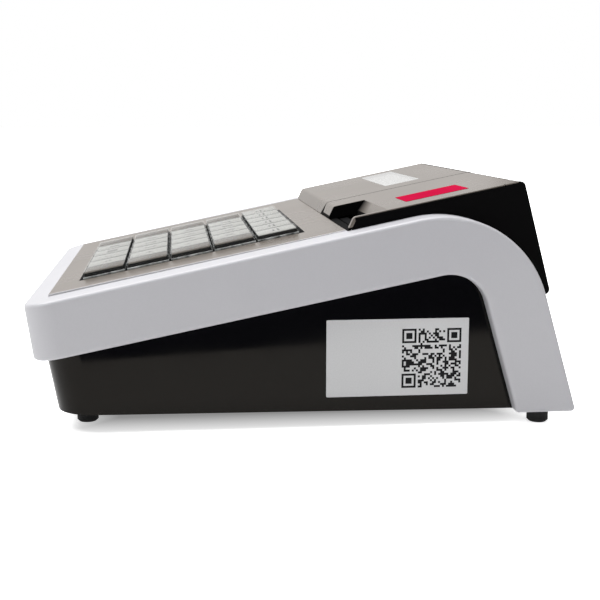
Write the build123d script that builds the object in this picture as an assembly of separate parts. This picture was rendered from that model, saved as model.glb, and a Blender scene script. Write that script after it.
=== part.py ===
# Compact electronic cash register, built as separate parts.
# +X is the operator's right, +Y the rear, +Z up. The origin is at the middle of the
# footprint, on the surface that the rubber feet stand on. All lengths in millimetres.
from math import cos, pi, radians, sin, tan
import os

from build123d import *

# ---------------------------------------------------------------- driving sizes
# White side frame
frame_width = 236.0
half_length = 131.3  # from the middle to the front edge
deck_height = 89.5  # the deck plane's height above the origin
deck_angle = 11.6  # degrees, the deck rises towards the rear
front_lean = 8.3  # degrees from upright
band_depth = 27.2  # side band at the front, square to the deck
band_depth_rear = 28.0  # side band at the leg
band_rise = 0.9  # of the band's top above the deck plane at the shoulder
band_width = 17.0  # of the side band's top, outside the deck plate
leg_depth = 28.4  # rear leg, square to its own edge
leg_lean = 16.5  # degrees from upright
leg_reach = 0.7  # of the leg's foot beyond the half length
leg_bottom = 6.7
shoulder_radius = 53.0
inner_radius = 18.9
front_corner_radius = 14.7  # seen from above
frame_wall = 2.8
frame_edge_radius = 1.8

# Black lower case
case_inset = 7.5  # from the frame's side to the case's side
case_front_inset = 13.5  # of its lower front edge, from the frame's front
case_front_lean = 10.7
case_bottom_front = 9.7
case_bottom_rear = 7.4
case_rear_inset = 26.5
case_rear_drop = 27.5  # of its rear rim below the deck height
case_shoulder = 16.8  # from the case's rear to where its rim turns down
case_rim_depth = 17.2  # the rim's depth below the deck plane
case_front_radius = 17.8
case_edge_radius = 2.0
case_wall = 2.5
vent_count = 7  # slots in the floor, in each of two groups
vent_length = 34.0
vent_width = 2.4
vent_pitch = 7.0
vent_middle = 58.0  # of a group, from the middle of the case

# Deck plate and keys
plate_margin = 8.7  # from the frame's front edge
plate_rise = 1.2  # above the deck plane
plate_thickness = 2.4
plate_edge_radius = 0.7
ledge_width = 3.0  # of the frame's ledge under the plate's edge
key_front_margin = 14.4  # from the plate's front edge to the keys
key_columns = 6
key_rows = 5
key_field_middle = 11.4
key_field_back = 19.8  # from the rear housing's front to the keys
key_travel = 3.0
key_gap = 0.6  # between the caps' flanges
key_flange_width = 0.3  # beyond the cap's wall
key_flange_thickness = 0.8
key_flange_low = 0.9  # above the deck plane
key_top = 4.6
key_cap_wall = 0.5
key_body_low = -1.5
key_label_thickness = 0.3
key_stem = 6.0
key_stem_low = -13.5
sleeve_wall = 1.5
sleeve_top = -5.2
guide_top = -7.5
guide_thickness = 2.0
guide_margin = 3.0  # round the key field
guide_rim = 2.0
board_thickness = 1.6
contact_pad = 8.0
contact_thickness = 0.2
board_drop = 0.5  # from a pressed stem to the keyboard's board

# Rear housing and its tops
housing_overhang = 3.2  # of the housing's sides beyond the deck plate
housing_rear_inset = 21.1  # its rear top corner, along the deck
housing_run = 88.6  # from its front to its rear top corner, along the deck
housing_rise = 6.5  # the taupe tops' height above the deck plane
housing_corner_radius = 2.6
front_face_run = 4.2  # how far the front face leans back
housing_tip_inset = 9.5  # the lowest rear corner
housing_drop = 27.2  # of the housing's underside below the deck height
housing_wall = 2.0
top_skin = 1.4
skin_low = 0.8  # the skins' lower edge above the deck plane
top_corner_radius = 2.6
seam_gap = 0.4
lid_margin = 27.6  # from the seam to the receipt's mouth
front_bar_depth = 8.0
front_bar_run = 4.4

# Displays
window_inset = 13.2  # from the housing's left side
window_seam = 19.9  # from the seam
window_back = 41.8  # from the housing's front
window_run = 21.0
customer_window_height = 21.0
customer_window_down = 14.0  # below the housing's rear top corner
bezel = 4.0  # of a display module round its window
module_depth = 6.0

# Paper lid, hinge and printer
paper_width = 57.5
paper_play = 1.65  # from the paper to the mouth's sides
mouth_inset = 3.1  # from the housing's right side
mouth_run = 21.1  # from the housing's front
rim_wall = 0.9
ear_left_inset = 14.3  # from the mouth's left side, outwards
ear_right_inset = 13.1  # from the mouth's right side, inwards
ear_width = 6.0
ear_radius = 1.95
ear_depth = 9.0
hinge_radius = 1.0
barrel_radius = 3.0
strip_end = 7.0  # of the lid's edge over the side wall, before the hinge
platen_run = 16.9  # from the housing's front
platen_above = -8.5
platen_radius = 5.2
platen_shaft = 2.0
cheek_thickness = 1.4
cheek_front = 4.0  # of a cheek, before the roller's axis
scoop_wall = 1.4
scoop_run = 6.5  # of the ramp's slope, along the deck
scoop_lean = 1.5  # of its lower part
scoop_clear = 0.8  # from the ramp's foot to the roller
scoop_land = 1.6  # of the ramp's top behind the mouth
cheek_lean = 2.5  # of the left cheek's front edge
cheek_run = 5.5  # of the right cheek before the mouth's rear
cheek_low = -2.0  # top of the right cheek's front corner
gear_module = 0.6
platen_teeth = 20
pinion_teeth = 12
gear_width = 3.0
gear_play = 0.3  # added to the gears' centre distance
gear_side = 0.5  # beside a gear
motor_offset = 7.3  # from the mouth's left side
motor_length = 16.0
motor_radius = 9.5
motor_shaft = 1.0
motor_bore_depth = 7.0
printer_wall_run = 10.2
plate_above = -9.5  # top of the printer's motor plate
head_low = -17.4
head_base = 2.4
head_run = 12.7
head_width = 8.0
head_step = 0.7
tear_bar_low = -1.1
tear_thickness = 0.6
tear_pitch = 1.5
tear_run = 4.5
tear_depth = 0.8
pinion_direction = -62.0  # degrees, from the roller's axis to the pinion's
roll_radius = 25.0
roll_core_radius = 6.0
roll_inset = 36.2  # from the housing's rear top corner
roll_above = -24.0
tray_gap = 1.6
tray_wall = 1.5
tray_rise = 6.0  # of the tray's rim above the roll's axis
tray_foot = 18.0  # half length of the tray's feet
tray_foot_drop = 42.5  # of the feet's soles below the deck height
tray_foot_width = 4.0

# Boards, sockets, feet and screws
board_inset = 8.2  # from the housing's left side
board_margin = 4.3  # from the mouth's left side
board_back = 3.0  # from the case's rear
board_run = 71.8
board_low = 16.0
dc_offset = 8.0  # of each socket, from the board's left side
drawer_offset = 36.0
serial_offset = 62.0
usb_offset = 90.0
dc_width = 11.0
dc_depth = 14.0
dc_bore = 3.2
dc_pin = 1.0
dc_floor = 4.0  # behind the bore
drawer_width = 13.2
drawer_depth = 15.0
drawer_hole_width = 9.8
drawer_hole_height = 7.2
drawer_hole_depth = 12.0
serial_width = 16.0
serial_height = 13.6
serial_depth = 17.0
serial_hole_width = 11.9
serial_hole_height = 7.4
serial_hole_depth = 14.0
usb_width = 12.0
usb_height = 10.8
usb_depth = 16.0
usb_hole_width = 8.5
usb_hole_height = 7.8
usb_hole_depth = 9.0
usb_tongue_width = 5.6
usb_tongue_height = 3.2
foot_radius = 5.2
foot_base_radius = 4.2
front_foot_inset = 33.7
front_foot_back = 26.5
rear_foot_inset = 10.6
rear_foot_forward = 15.3
post_radius = 3.2
post_meet = 6.0  # above the band's lower edge, square to the deck
standoff_radius = 3.0
standoff_inset = 5.0
screw_front_inset = 39.3
screw_rear_inset = 74.8  # from the case's rear
screw_radius = 1.2
screw_head_radius = 2.2
screw_head_height = 1.6
screw_seat_drop = 4.0  # of the head's seat below its post's top
screw_reach = 10.0
screw_grip = 7.0  # depth of the frame's pilot hole

# Clearances between neighbours
seat_gap = 0.1  # pieces that rest on one another
side_gap = 0.2  # pieces side by side
fit_gap = 0.3  # frame round the case
stem_gap = 0.1
swing_gap = 0.6  # behind the lid's edge over the side wall
shaft_gap = 0.05

reach = 400.0  # longer than the register, for cuts that pass right through

# ---------------------------------------------------------------- worked out
frame_half = frame_width / 2
case_half = frame_half - case_inset
case_front_bottom = case_front_inset - half_length
case_rear = half_length - case_rear_inset
plate_half = frame_half - band_width
plate_front = plate_margin - half_length
bay_half = plate_half + side_gap  # the frame's clear half width round plate and housing
deck_sine = sin(radians(deck_angle))
deck_cosine = cos(radians(deck_angle))
housing_half = plate_half + housing_overhang
housing_rear = half_length - housing_rear_inset
housing_front = housing_rear - housing_run
housing_tip_rear = half_length - housing_tip_inset
mouth_right = housing_half - mouth_inset
mouth_left = mouth_right - paper_width - 2 * paper_play
mouth_rear = housing_front + mouth_run
seam_middle = mouth_left - lid_margin
window_left = window_inset - housing_half
window_right = seam_middle - window_seam
window_front = housing_front + window_back
window_rear = window_front + window_run
key_field_rear = housing_front - key_field_back
key_pitch = (key_field_rear - plate_front - key_front_margin) / key_rows
key_field_left = key_field_middle - key_columns * key_pitch / 2
key_field_right = key_field_middle + key_columns * key_pitch / 2
key_field_front = key_field_rear - key_rows * key_pitch
housing_top = housing_rise - top_skin - seat_gap  # the walls' top, under the skins
hinge_along = housing_rear - barrel_radius
hinge_above = housing_rise - barrel_radius
housing_inside = housing_half - housing_wall
back_wall = housing_wall + 0.2
front_bar_rear = housing_front + front_bar_run
front_top_along = housing_front + front_face_run
front_corner = front_top_along + 0.9  # the skins' inner corner
skin_foot = 1.7  # the skins' thickness along the deck at the front face's foot
skin_under = housing_rise - top_skin
case_rear_top = deck_height - case_rear_drop
housing_ledge = deck_height - housing_drop
tray_foot_low = deck_height - tray_foot_drop
lid_left = seam_middle + seam_gap / 2
lid_right = housing_inside - side_gap
lid_rear = hinge_along - strip_end
lid_barrel_floor = hinge_above - barrel_radius - 0.4
display_cover_rear = housing_rear - back_wall - side_gap
pin_bore = hinge_radius + shaft_gap
knuckle_radius = ear_radius + 0.15  # of the lid's room round an ear
ear_left = mouth_left - ear_left_inset
ear_right = mouth_right - ear_right_inset
platen_along = housing_front + platen_run
printer_wall_rear = housing_front + printer_wall_run
motor_right = mouth_left - motor_offset
roll_along = housing_rear - roll_inset
right_cheek_left = mouth_right - rim_wall - 0.2
board_left = board_inset - housing_half
board_right = mouth_left - board_margin
board_rear = case_rear - board_back
board_front = board_rear - board_run
board_top = board_low + board_thickness
tray_front = roll_along - roll_radius - tray_gap - tray_wall
paper_middle = (mouth_left + mouth_right) / 2 - 0.3
gear_left = mouth_left - cheek_thickness - gear_side - gear_width
tray_left = paper_middle - paper_width / 2 - 0.6
tray_right = paper_middle + paper_width / 2 + 0.9
pinion_distance = gear_module * (platen_teeth + pinion_teeth) / 2 + gear_play
pinion_along = platen_along + pinion_distance * cos(radians(pinion_direction))
pinion_above = platen_above + pinion_distance * sin(radians(pinion_direction))

deck_plane = Plane(
    origin=(0, 0, deck_height), x_dir=(1, 0, 0), z_dir=(0, -deck_sine, deck_cosine)
)


# ---------------------------------------------------------------- helpers
def deck_z(y, above=0.0):
    """Height of a line parallel to the deck, square distance above it, at y."""
    return deck_height + y * deck_sine / deck_cosine + above / deck_cosine


def on_deck(along, above):
    """(y, z) of a place measured along the deck and square to it."""
    y = along * deck_cosine - above * deck_sine
    z = deck_height + along * deck_sine + above * deck_cosine
    return (y, z)


def crossing(point, lean, above):
    """Where a line through point, leaning forward by lean degrees, meets the deck's parallel."""
    slope = deck_sine / deck_cosine
    run = tan(radians(lean))
    z = (deck_z(0, above) + slope * (point[0] + run * point[1])) / (1 + slope * run)
    return (point[0] - run * (z - point[1]), z)


def slab(points, left, right, radii=0.0):
    """A side outline of (y, z) points, from x = left to x = right."""
    outline = Plane.YZ * FilletPolyline(*points, radius=radii, close=True)
    face = Pos(left, 0, 0) * make_face(outline)
    return extrude(face, right - left, dir=(1, 0, 0))


def block(left, right, front, rear, low, high):
    """A box square to the ground."""
    size = Box(right - left, rear - front, high - low)
    return Pos((left + right) / 2, (front + rear) / 2, (low + high) / 2) * size


def deck_block(left, right, front, rear, low, high):
    """A box square to the deck."""
    size = Box(right - left, rear - front, high - low)
    return deck_plane * Pos((left + right) / 2, (front + rear) / 2, (low + high) / 2) * size


def cross_rod(left, right, along, above, radius):
    """A round bar parallel to x, its axis placed on the deck."""
    y, z = on_deck(along, above)
    return Pos((left + right) / 2, y, z) * Rot(0, 90, 0) * Cylinder(radius, right - left)


def leaned_prism(half_width, front_y, front_z, lean, rear_y, radius):
    """Everything inside a plan outline whose rounded front leans back towards the ground."""
    run = tan(radians(lean))
    low = -deck_height
    start = front_y + run * (front_z - low)
    plan = FilletPolyline(
        (-half_width, start, low),
        (half_width, start, low),
        (half_width, rear_y + reach, low),
        (-half_width, rear_y + reach, low),
        radius=[radius, radius, 0, 0],
        close=True,
    )
    return extrude(make_face(plan), reach, dir=(0, -sin(radians(lean)), cos(radians(lean))))


def gear(teeth, phase):
    """A spur gear's face, centred on the origin, with straight-sided teeth."""
    root = gear_module * (teeth / 2 - 1.2)
    tip = gear_module * (teeth / 2 + 0.9)
    points = []
    for tooth in range(teeth):
        middle = 2 * pi * tooth / teeth + radians(phase)
        for radius, share in ((root, -0.30), (tip, -0.10), (tip, 0.10), (root, 0.30)):
            angle = middle + share * 2 * pi / teeth
            points.append((radius * cos(angle), radius * sin(angle)))
    return make_face(Polyline(*points, close=True))


def cross_gear(teeth, phase, left, along, above):
    """A spur gear with its axis parallel to x; phase turns from the deck's rear direction."""
    y, z = on_deck(along, above)
    face = Pos(left, y, z) * (Plane.YZ * gear(teeth, phase + deck_angle))
    return extrude(face, gear_width, dir=(1, 0, 0))


# ---------------------------------------------------------------- side frame
def frame_points(inset=0.0):
    """The side frame's outline, moved inwards by inset."""
    run = tan(radians(leg_lean))
    back_foot = (half_length + leg_reach - inset / cos(radians(leg_lean)), leg_bottom)
    front_foot_y = back_foot[0] - (leg_depth - 2 * inset) / cos(radians(leg_lean))
    front_line = (-half_length + inset / cos(radians(front_lean)), deck_z(-half_length))
    shoulder = crossing(back_foot, leg_lean, band_rise - inset)
    inner_corner = crossing((front_foot_y, leg_bottom), leg_lean, inset - band_depth_rear)
    front_top = crossing(front_line, front_lean, -inset)
    front_bottom = crossing(front_line, front_lean, inset - band_depth)
    lift = leg_bottom + inset
    return [
        front_top,
        shoulder,
        (back_foot[0] - run * inset, lift),
        (front_foot_y - run * inset, lift),
        inner_corner,
        front_bottom,
    ]


def frame_radii(inset=0.0):
    return [0, shoulder_radius - inset, 0, 0, inner_radius + inset, 0]


def frame_prism(inset=0.0):
    return leaned_prism(
        frame_half - inset,
        -half_length + inset,
        deck_z(-half_length),
        front_lean,
        half_length,
        front_corner_radius - inset,
    )


def frame_solid(inset=0.0):
    body = slab(frame_points(inset), -frame_half + inset, frame_half - inset, frame_radii(inset))
    return body & frame_prism(inset)


def rounded_frame():
    """The frame's outer form with its long edges rounded."""
    body = frame_solid()
    edges = body.edges().filter_by(lambda e: not is_across(e) and not is_seam(e))
    return fillet(edges, frame_edge_radius)


def is_across(edge):
    """True for an edge parallel to x that crosses the whole frame."""
    return edge.geom_type == GeomType.LINE and edge.bounding_box().size.X > frame_width


def is_seam(edge):
    """True for the upright lines where a flat side runs into a rounded front corner."""
    box = edge.bounding_box().size
    return edge.geom_type == GeomType.LINE and box.Z > 2 * box.Y and edge.center().Y < 0


def side_frame():
    body = rounded_frame()
    hollow = frame_solid(frame_wall)
    rear_zone = case_rear + side_gap
    closing = bay_half + frame_wall
    body -= hollow & block(-frame_half, frame_half, -reach, rear_zone, 0, reach)
    for side in (-1, 1):
        edges = sorted((side * closing, side * frame_half))
        body -= hollow & block(edges[0], edges[1], rear_zone, reach, 0, reach)
    step = bay_half - ledge_width
    front = plate_front - side_gap
    plate_low = plate_rise - plate_thickness
    body -= deck_block(-step, step, front + ledge_width, housing_front, -deck_height, reach)
    body -= deck_block(-bay_half, bay_half, front, housing_front, plate_low, reach)
    body -= deck_block(-bay_half, bay_half, housing_front - side_gap, reach, -reach, reach)
    body -= case_envelope(fit_gap)
    for x, y in screw_places():
        low = post_top(y) + seat_gap
        boss = Pos(x, y, low + band_depth) * Cylinder(post_radius, 2 * band_depth)
        body += boss & hollow
        body -= Pos(x, y, low) * Cylinder(screw_radius + shaft_gap, 2 * screw_grip)
    return body


# ---------------------------------------------------------------- lower case
def case_points(inset=0.0):
    front = (case_front_bottom + inset, case_bottom_front)
    rise = inset
    rim_front = crossing(front, case_front_lean, -case_rim_depth)
    shoulder_y = case_rear - case_shoulder - inset
    rim_rear = (shoulder_y, deck_z(shoulder_y, -case_rim_depth))
    return [
        (front[0], case_bottom_front + rise),
        (case_rear - inset, case_bottom_rear + rise),
        (case_rear - inset, case_rear_top),
        rim_rear,
        rim_front,
    ]


def case_form(inset=0.0, edge=case_edge_radius):
    body = slab(
        case_points(inset), -case_half + inset, case_half - inset, [edge, edge, 0, 0, 0]
    )
    radius = case_front_radius - inset
    return body & leaned_prism(
        case_half - inset,
        case_front_bottom + inset,
        case_bottom_front,
        case_front_lean,
        case_rear,
        radius,
    )


def case_envelope(gap):
    return case_form(-gap)


def screw_places():
    """Where screws rise through the case into the frame."""
    x = case_half - case_wall - post_radius - 0.5
    front = screw_front_inset - half_length
    rear = case_rear - screw_rear_inset
    return [(side * x, y) for side in (-1, 1) for y in (front, (front + rear) / 2, rear)]


def post_top(y):
    """Height where a case post meets the frame's boss."""
    return deck_z(y, post_meet - band_depth)


def screw_seat(y):
    """Height of the seat of a screw's head, down inside its post."""
    return post_top(y) - screw_seat_drop


def lower_case():
    body = case_form()
    inner = case_form(case_wall, case_edge_radius / 2)
    body -= inner + Pos(0, 0, case_rim_depth) * inner
    rear_top = case_rear_top - seat_gap
    body -= block(-bay_half, bay_half, case_rear - case_shoulder, reach, rear_top, reach)
    body -= floor_vents()
    floor = case_bottom_rear + case_wall / 2
    for x, y in screw_places():
        top = post_top(y)
        body += Pos(x, y, (floor + top) / 2) * Cylinder(post_radius, top - floor)
        body -= Pos(x, y, screw_seat(y) / 2) * Cylinder(screw_head_radius + side_gap, screw_seat(y))
        body -= Pos(x, y, top) * Cylinder(screw_radius + shaft_gap, 2 * screw_reach)
    for x in (board_left + standoff_inset, board_right - standoff_inset):
        for y in (board_front + standoff_inset, board_rear - serial_depth - 2 * standoff_radius):
            top = board_low - seat_gap
            body += Pos(x, y, (floor + top) / 2) * Cylinder(standoff_radius, top - floor)
    for x, y in tray_posts():
        top = tray_foot_low - seat_gap
        body += Pos(x, y, (floor + top) / 2) * Cylinder(post_radius, top - floor)
    for left, width, height, depth in socket_sizes().values():
        body -= block(
            left - side_gap,
            left + width + side_gap,
            case_rear - 2 * case_wall,
            case_rear + 2 * case_wall,
            board_top - side_gap,
            board_top + height + side_gap,
        )
    return body


def floor_vents():
    """Slots through the floor, in two groups side by side."""
    slots = []
    middle = (case_rear + case_front_bottom) / 2
    for side in (-1, 1):
        for slot in range(vent_count):
            y = middle + (slot - (vent_count - 1) / 2) * vent_pitch
            x = side * vent_middle
            low = -case_wall
            slots.append(
                block(
                    x - vent_length / 2,
                    x + vent_length / 2,
                    y - vent_width / 2,
                    y + vent_width / 2,
                    low,
                    case_bottom_front + 2 * case_wall,
                )
            )
    return slots


def tray_posts():
    """Where the paper tray stands."""
    middle = on_deck(roll_along, roll_above)[0]
    left = tray_left + 1.5 * tray_foot_width
    right = tray_right - 1.5 * tray_foot_width
    reach = tray_foot - post_radius
    return [(x, middle + side * reach) for x in (left, right) for side in (-1, 1)]


# ---------------------------------------------------------------- deck plate
def key_plate():
    front = plate_front
    rear = housing_front - side_gap
    low = plate_rise - plate_thickness + seat_gap
    flat = block(-plate_half, plate_half, front, rear, low, plate_rise)
    top = flat.faces().sort_by(Axis.Z)[-1]
    plate = deck_plane * fillet(top.edges(), plate_edge_radius)
    return plate - deck_block(
        key_field_left, key_field_right, key_field_front, key_field_rear, -reach, reach
    )


def key_middle(row, column):
    """Middle of a key: row 1 is nearest the operator, column 1 is at the left."""
    x = key_field_left + (column - 0.5) * key_pitch
    along = key_field_front + (row - 0.5) * key_pitch
    return (x, along)


def square(width, low, high):
    """A square block round a key's middle line."""
    return Pos(0, 0, (low + high) / 2) * Box(width, width, high - low)


def at_key(row, column, shape):
    x, along = key_middle(row, column)
    return deck_plane * Pos(x, along, 0) * shape


def every_key():
    return [(row + 1, column + 1) for row in range(key_rows) for column in range(key_columns)]


def key_solids():
    """One key about its own middle line: body with stem, label insert, flanged clear cap."""
    flange = key_pitch - key_gap
    cap_width = flange - 2 * key_flange_width
    inside = cap_width - 2 * key_cap_wall
    under = key_top - key_cap_wall
    cap = square(flange, key_flange_low, key_flange_low + key_flange_thickness)
    cap += square(cap_width, key_flange_low, key_top)
    cap -= square(inside, key_flange_low - 1, under)
    label_low = under - seat_gap - key_label_thickness
    body = square(inside - 2 * seat_gap, key_body_low, label_low)
    body += square(key_stem, key_stem_low, key_body_low)
    label = square(inside - 4 * seat_gap, label_low, under - seat_gap)
    return [body, label, cap]


def key_guide():
    left = key_field_left - guide_margin
    right = key_field_right + guide_margin
    front = key_field_front - guide_margin
    rear = key_field_rear + guide_margin
    low = guide_top - guide_thickness
    plate_under = plate_rise - plate_thickness
    floor = key_stem_low - key_travel - board_drop + seat_gap
    frame = deck_block(left, right, front, rear, floor, plate_under)
    frame -= deck_block(
        left + guide_rim, right - guide_rim, front + guide_rim, rear - guide_rim, -reach, reach
    )
    frame += deck_block(left, right, front, rear, low, guide_top)
    outer = key_stem + 2 * (stem_gap + sleeve_wall)
    bore = key_stem + 2 * stem_gap
    frame += [at_key(*place, square(outer, key_stem_low + 1, sleeve_top)) for place in every_key()]
    frame -= [at_key(*place, square(bore, -deck_height, deck_height)) for place in every_key()]
    return frame


def key_board():
    left = key_field_left - guide_margin
    right = key_field_right + guide_margin
    front = key_field_front - guide_margin
    rear = key_field_rear + guide_margin
    top = key_stem_low - key_travel - board_drop
    board = deck_block(left, right, front, rear, top - board_thickness, top)
    board += [at_key(*place, square(contact_pad, top, top + contact_thickness)) for place in every_key()]
    return board


# ---------------------------------------------------------------- rear housing
def back_face(down, inward):
    """(y, z) on the housing's back face, down from its top corner and inward from it."""
    top = on_deck(housing_rear, housing_rise)
    run = (housing_tip_rear - top[0]) / (top[1] - housing_ledge)
    length = (1 + run * run) ** 0.5
    y = top[0] + (down * run - inward) / length
    z = top[1] - (down + inward * run) / length
    return (y, z)


def back_slab(left, right, top, bottom, outer, inner):
    """A plate parallel to the housing's back face."""
    corners = [back_face(top, outer), back_face(bottom, outer)]
    corners += [back_face(bottom, inner), back_face(top, inner)]
    return slab(corners, left, right)


def housing_points():
    front_low = on_deck(housing_front, -front_bar_depth)
    front_high = on_deck(housing_front, seat_gap)
    front_top = on_deck(housing_front + front_face_run, housing_rise)
    rear_top = on_deck(housing_rear, housing_rise)
    tip = (housing_tip_rear, housing_ledge)
    inner = (case_rear - case_wall, housing_ledge)
    turn = on_deck(tray_front, -front_bar_depth)
    return [front_low, front_high, front_top, rear_top, tip, inner, turn]


def housing_void():
    low_front = on_deck(front_bar_rear, -deck_height)
    high_front = on_deck(front_bar_rear, deck_height)
    high_rear = on_deck(housing_rear - back_wall, deck_height)
    wall_top = on_deck(housing_rear - back_wall, housing_rise)
    wall_low = (housing_tip_rear - back_wall, housing_ledge + housing_wall)
    ledge = (case_rear - case_wall - 1, housing_ledge + housing_wall)
    return [low_front, high_front, high_rear, wall_top, wall_low, ledge, (ledge[0], 0.0)]


def skin_room(rear):
    """The room that the tops' skins take, with the seat's gap under them."""
    return [
        on_deck(housing_front - front_bar_run, seat_gap),
        on_deck(housing_front - front_bar_run, deck_height),
        on_deck(rear, deck_height),
        on_deck(rear, housing_top),
        on_deck(front_corner + seat_gap, housing_top),
        on_deck(housing_front + skin_foot + seat_gap, seat_gap),
    ]


def rear_housing():
    corner = housing_corner_radius
    body = slab(housing_points(), -housing_half, housing_half, [0, 0, 0, corner, corner, 0, 0])
    band = slab(frame_points(-side_gap), -reach, reach, frame_radii(-side_gap))
    inner_half = bay_half - side_gap
    outside = block(-reach, reach, -reach, reach, -reach, reach)
    outside -= block(-inner_half, inner_half, -reach, reach, -reach, reach)
    body -= band & outside
    void = slab(housing_void(), -housing_inside, housing_inside)
    lifted = slab(frame_points(-side_gap - housing_wall), -reach, reach, frame_radii(-side_gap))
    body -= void - (lifted & outside)
    body -= slab(skin_room(display_cover_rear + side_gap), -reach, lid_left)
    body -= slab(skin_room(lid_rear + swing_gap), lid_left, reach)
    # room for the lid's barrel, and for the receipt's mouth
    barrel_front = hinge_along - barrel_radius - housing_wall
    body -= deck_block(
        lid_left, housing_inside, barrel_front, housing_tip_rear, lid_barrel_floor, reach
    )
    body -= deck_block(
        mouth_left - housing_wall,
        mouth_right + rim_wall,
        housing_front - front_bar_run,
        mouth_rear,
        seat_gap,
        reach,
    )
    for middle in (ear_left, ear_right):
        body += housing_ear(middle)
    body -= cross_rod(lid_left, housing_inside, hinge_along, hinge_above, pin_bore)
    down = customer_window_down
    body -= back_slab(
        window_left,
        window_right,
        down,
        down + customer_window_height,
        -back_wall,
        2 * back_wall,
    )
    return body


def housing_ear(middle):
    """A knuckle that carries the lid's pin, standing on the back wall."""
    left = middle - ear_width / 2
    right = middle + ear_width / 2
    ear = cross_rod(left, right, hinge_along, hinge_above, ear_radius)
    low = hinge_above - ear_depth
    front = hinge_along - ear_radius / 2
    return ear + deck_block(left, right, front, hinge_along + ear_radius, low, hinge_above)


# ---------------------------------------------------------------- tops
def top_points(rear):
    """The taupe tops' section: a leaning front face and the top."""
    return [
        on_deck(housing_front, skin_low),
        on_deck(front_top_along, housing_rise),
        on_deck(rear, housing_rise),
        on_deck(rear, housing_rise - top_skin),
        on_deck(front_corner, housing_rise - top_skin),
        on_deck(housing_front + skin_foot, skin_low),
    ]


def top_radii():
    return [0, top_corner_radius, 0, 0, top_corner_radius - top_skin, 0]


def display_cover():
    right = lid_left - seam_gap
    body = slab(top_points(display_cover_rear), -housing_half, right, top_radii())
    return body - deck_block(window_left, window_right, window_front, window_rear, 0, reach)


def display_window():
    return deck_block(
        window_left + side_gap,
        window_right - side_gap,
        window_front + side_gap,
        window_rear - side_gap,
        housing_rise - top_skin,
        housing_rise,
    )


def display_module():
    top = housing_rise - top_skin - seat_gap
    return deck_block(
        window_left - bezel,
        window_right + bezel,
        window_front - bezel,
        window_rear + bezel,
        top - module_depth,
        top,
    )


def customer_window():
    down = customer_window_down
    return back_slab(
        window_left + side_gap,
        window_right - side_gap,
        down + side_gap,
        down + customer_window_height - side_gap,
        0,
        back_wall - seat_gap,
    )


def customer_module():
    down = customer_window_down
    return back_slab(
        window_left - bezel,
        window_right + bezel,
        down - bezel,
        down + customer_window_height + bezel,
        back_wall + seat_gap,
        back_wall + seat_gap + module_depth,
    )


# ---------------------------------------------------------------- paper lid
def lid_cheek(left, right, front, floor):
    """A cheek hanging from the lid down to the roller's shaft."""
    low = platen_above - 2 * platen_shaft
    top = skin_under + side_gap
    points = [
        on_deck(front, floor),
        on_deck(front + cheek_lean, top),
        on_deck(mouth_rear + cheek_front, top),
        on_deck(platen_along + cheek_front, low),
        on_deck(platen_along - cheek_front, low),
        on_deck(platen_along - cheek_front, floor),
    ]
    return slab(points, left, right)


def lid_scoop():
    """The ramp that closes the receipt's mouth at its rear."""
    low = platen_above + platen_radius + scoop_clear
    foot = mouth_rear - scoop_run
    points = [
        on_deck(mouth_rear - shaft_gap, housing_rise),
        on_deck(foot + scoop_lean, skin_foot),
        on_deck(foot, low),
        on_deck(foot + scoop_wall, low),
        on_deck(foot + scoop_wall + scoop_lean, skin_foot - scoop_wall / 2),
        on_deck(mouth_rear + scoop_land, skin_under),
        on_deck(mouth_rear + scoop_land, housing_rise),
    ]
    right = mouth_right + rim_wall
    scoop = slab(points, mouth_left - cheek_thickness, right)
    # the rim stands over the frame's flange, so only the part between the cheeks goes lower
    rim_side = mouth_right - side_gap
    return scoop - deck_block(rim_side, right + 1, 0, mouth_rear + reach, -reach, skin_low)


def paper_cover():
    body = slab(top_points(lid_rear), lid_left, housing_half, top_radii())
    body += deck_block(
        lid_left, lid_right, lid_rear - 1, hinge_along, skin_under, housing_rise
    )
    body += cross_rod(lid_left, lid_right, hinge_along, hinge_above, barrel_radius)
    body -= deck_block(
        mouth_left, mouth_right, housing_front - front_bar_run, mouth_rear, -reach, reach
    )
    body += lid_scoop()
    front = housing_front + skin_foot
    floor = seat_gap + side_gap
    rim_right = mouth_right + rim_wall
    body += lid_cheek(mouth_left - cheek_thickness, mouth_left, front, floor)
    body += deck_block(mouth_right, rim_right, front + 3, mouth_rear, skin_low, skin_under)
    body += lid_cheek(right_cheek_left, right_cheek_left + rim_wall, mouth_rear - cheek_run, cheek_low)
    for middle in (ear_left, ear_right):
        gap = ear_width / 2 + side_gap
        body -= cross_rod(middle - gap, middle + gap, hinge_along, hinge_above, knuckle_radius)
        # room behind and under the ear, whose web sweeps past as the lid swings
        rear = hinge_along + 2 * barrel_radius
        body -= deck_block(middle - gap, middle + gap, hinge_along, rear, -reach, reach)
        front = hinge_along - knuckle_radius
        body -= deck_block(middle - gap, middle + gap, front, rear, -reach, hinge_above)
    body -= cross_rod(lid_left - 1, lid_right + 1, hinge_along, hinge_above, pin_bore)
    shaft_bore = platen_shaft + shaft_gap
    body -= cross_rod(
        mouth_left - 2 * cheek_thickness,
        right_cheek_left + 2 * rim_wall,
        platen_along,
        platen_above,
        shaft_bore,
    )
    return body


def cover_hinge_pin():
    return cross_rod(lid_left + 1, lid_right - 1, hinge_along, hinge_above, hinge_radius)


# ---------------------------------------------------------------- printer
def platen_roller():
    """Steel shaft with its gear, and the rubber sleeve on it."""
    shaft = cross_rod(
        gear_left - side_gap, right_cheek_left + rim_wall, platen_along, platen_above, platen_shaft
    )
    wheel = cross_gear(platen_teeth, 0.0, gear_left, platen_along, platen_above)
    rubber = cross_rod(
        mouth_left + gear_side,
        right_cheek_left - gear_side,
        platen_along,
        platen_above,
        platen_radius,
    )
    rubber -= cross_rod(0, reach, platen_along, platen_above, platen_shaft)
    return Compound(children=[shaft + wheel, rubber])


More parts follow.
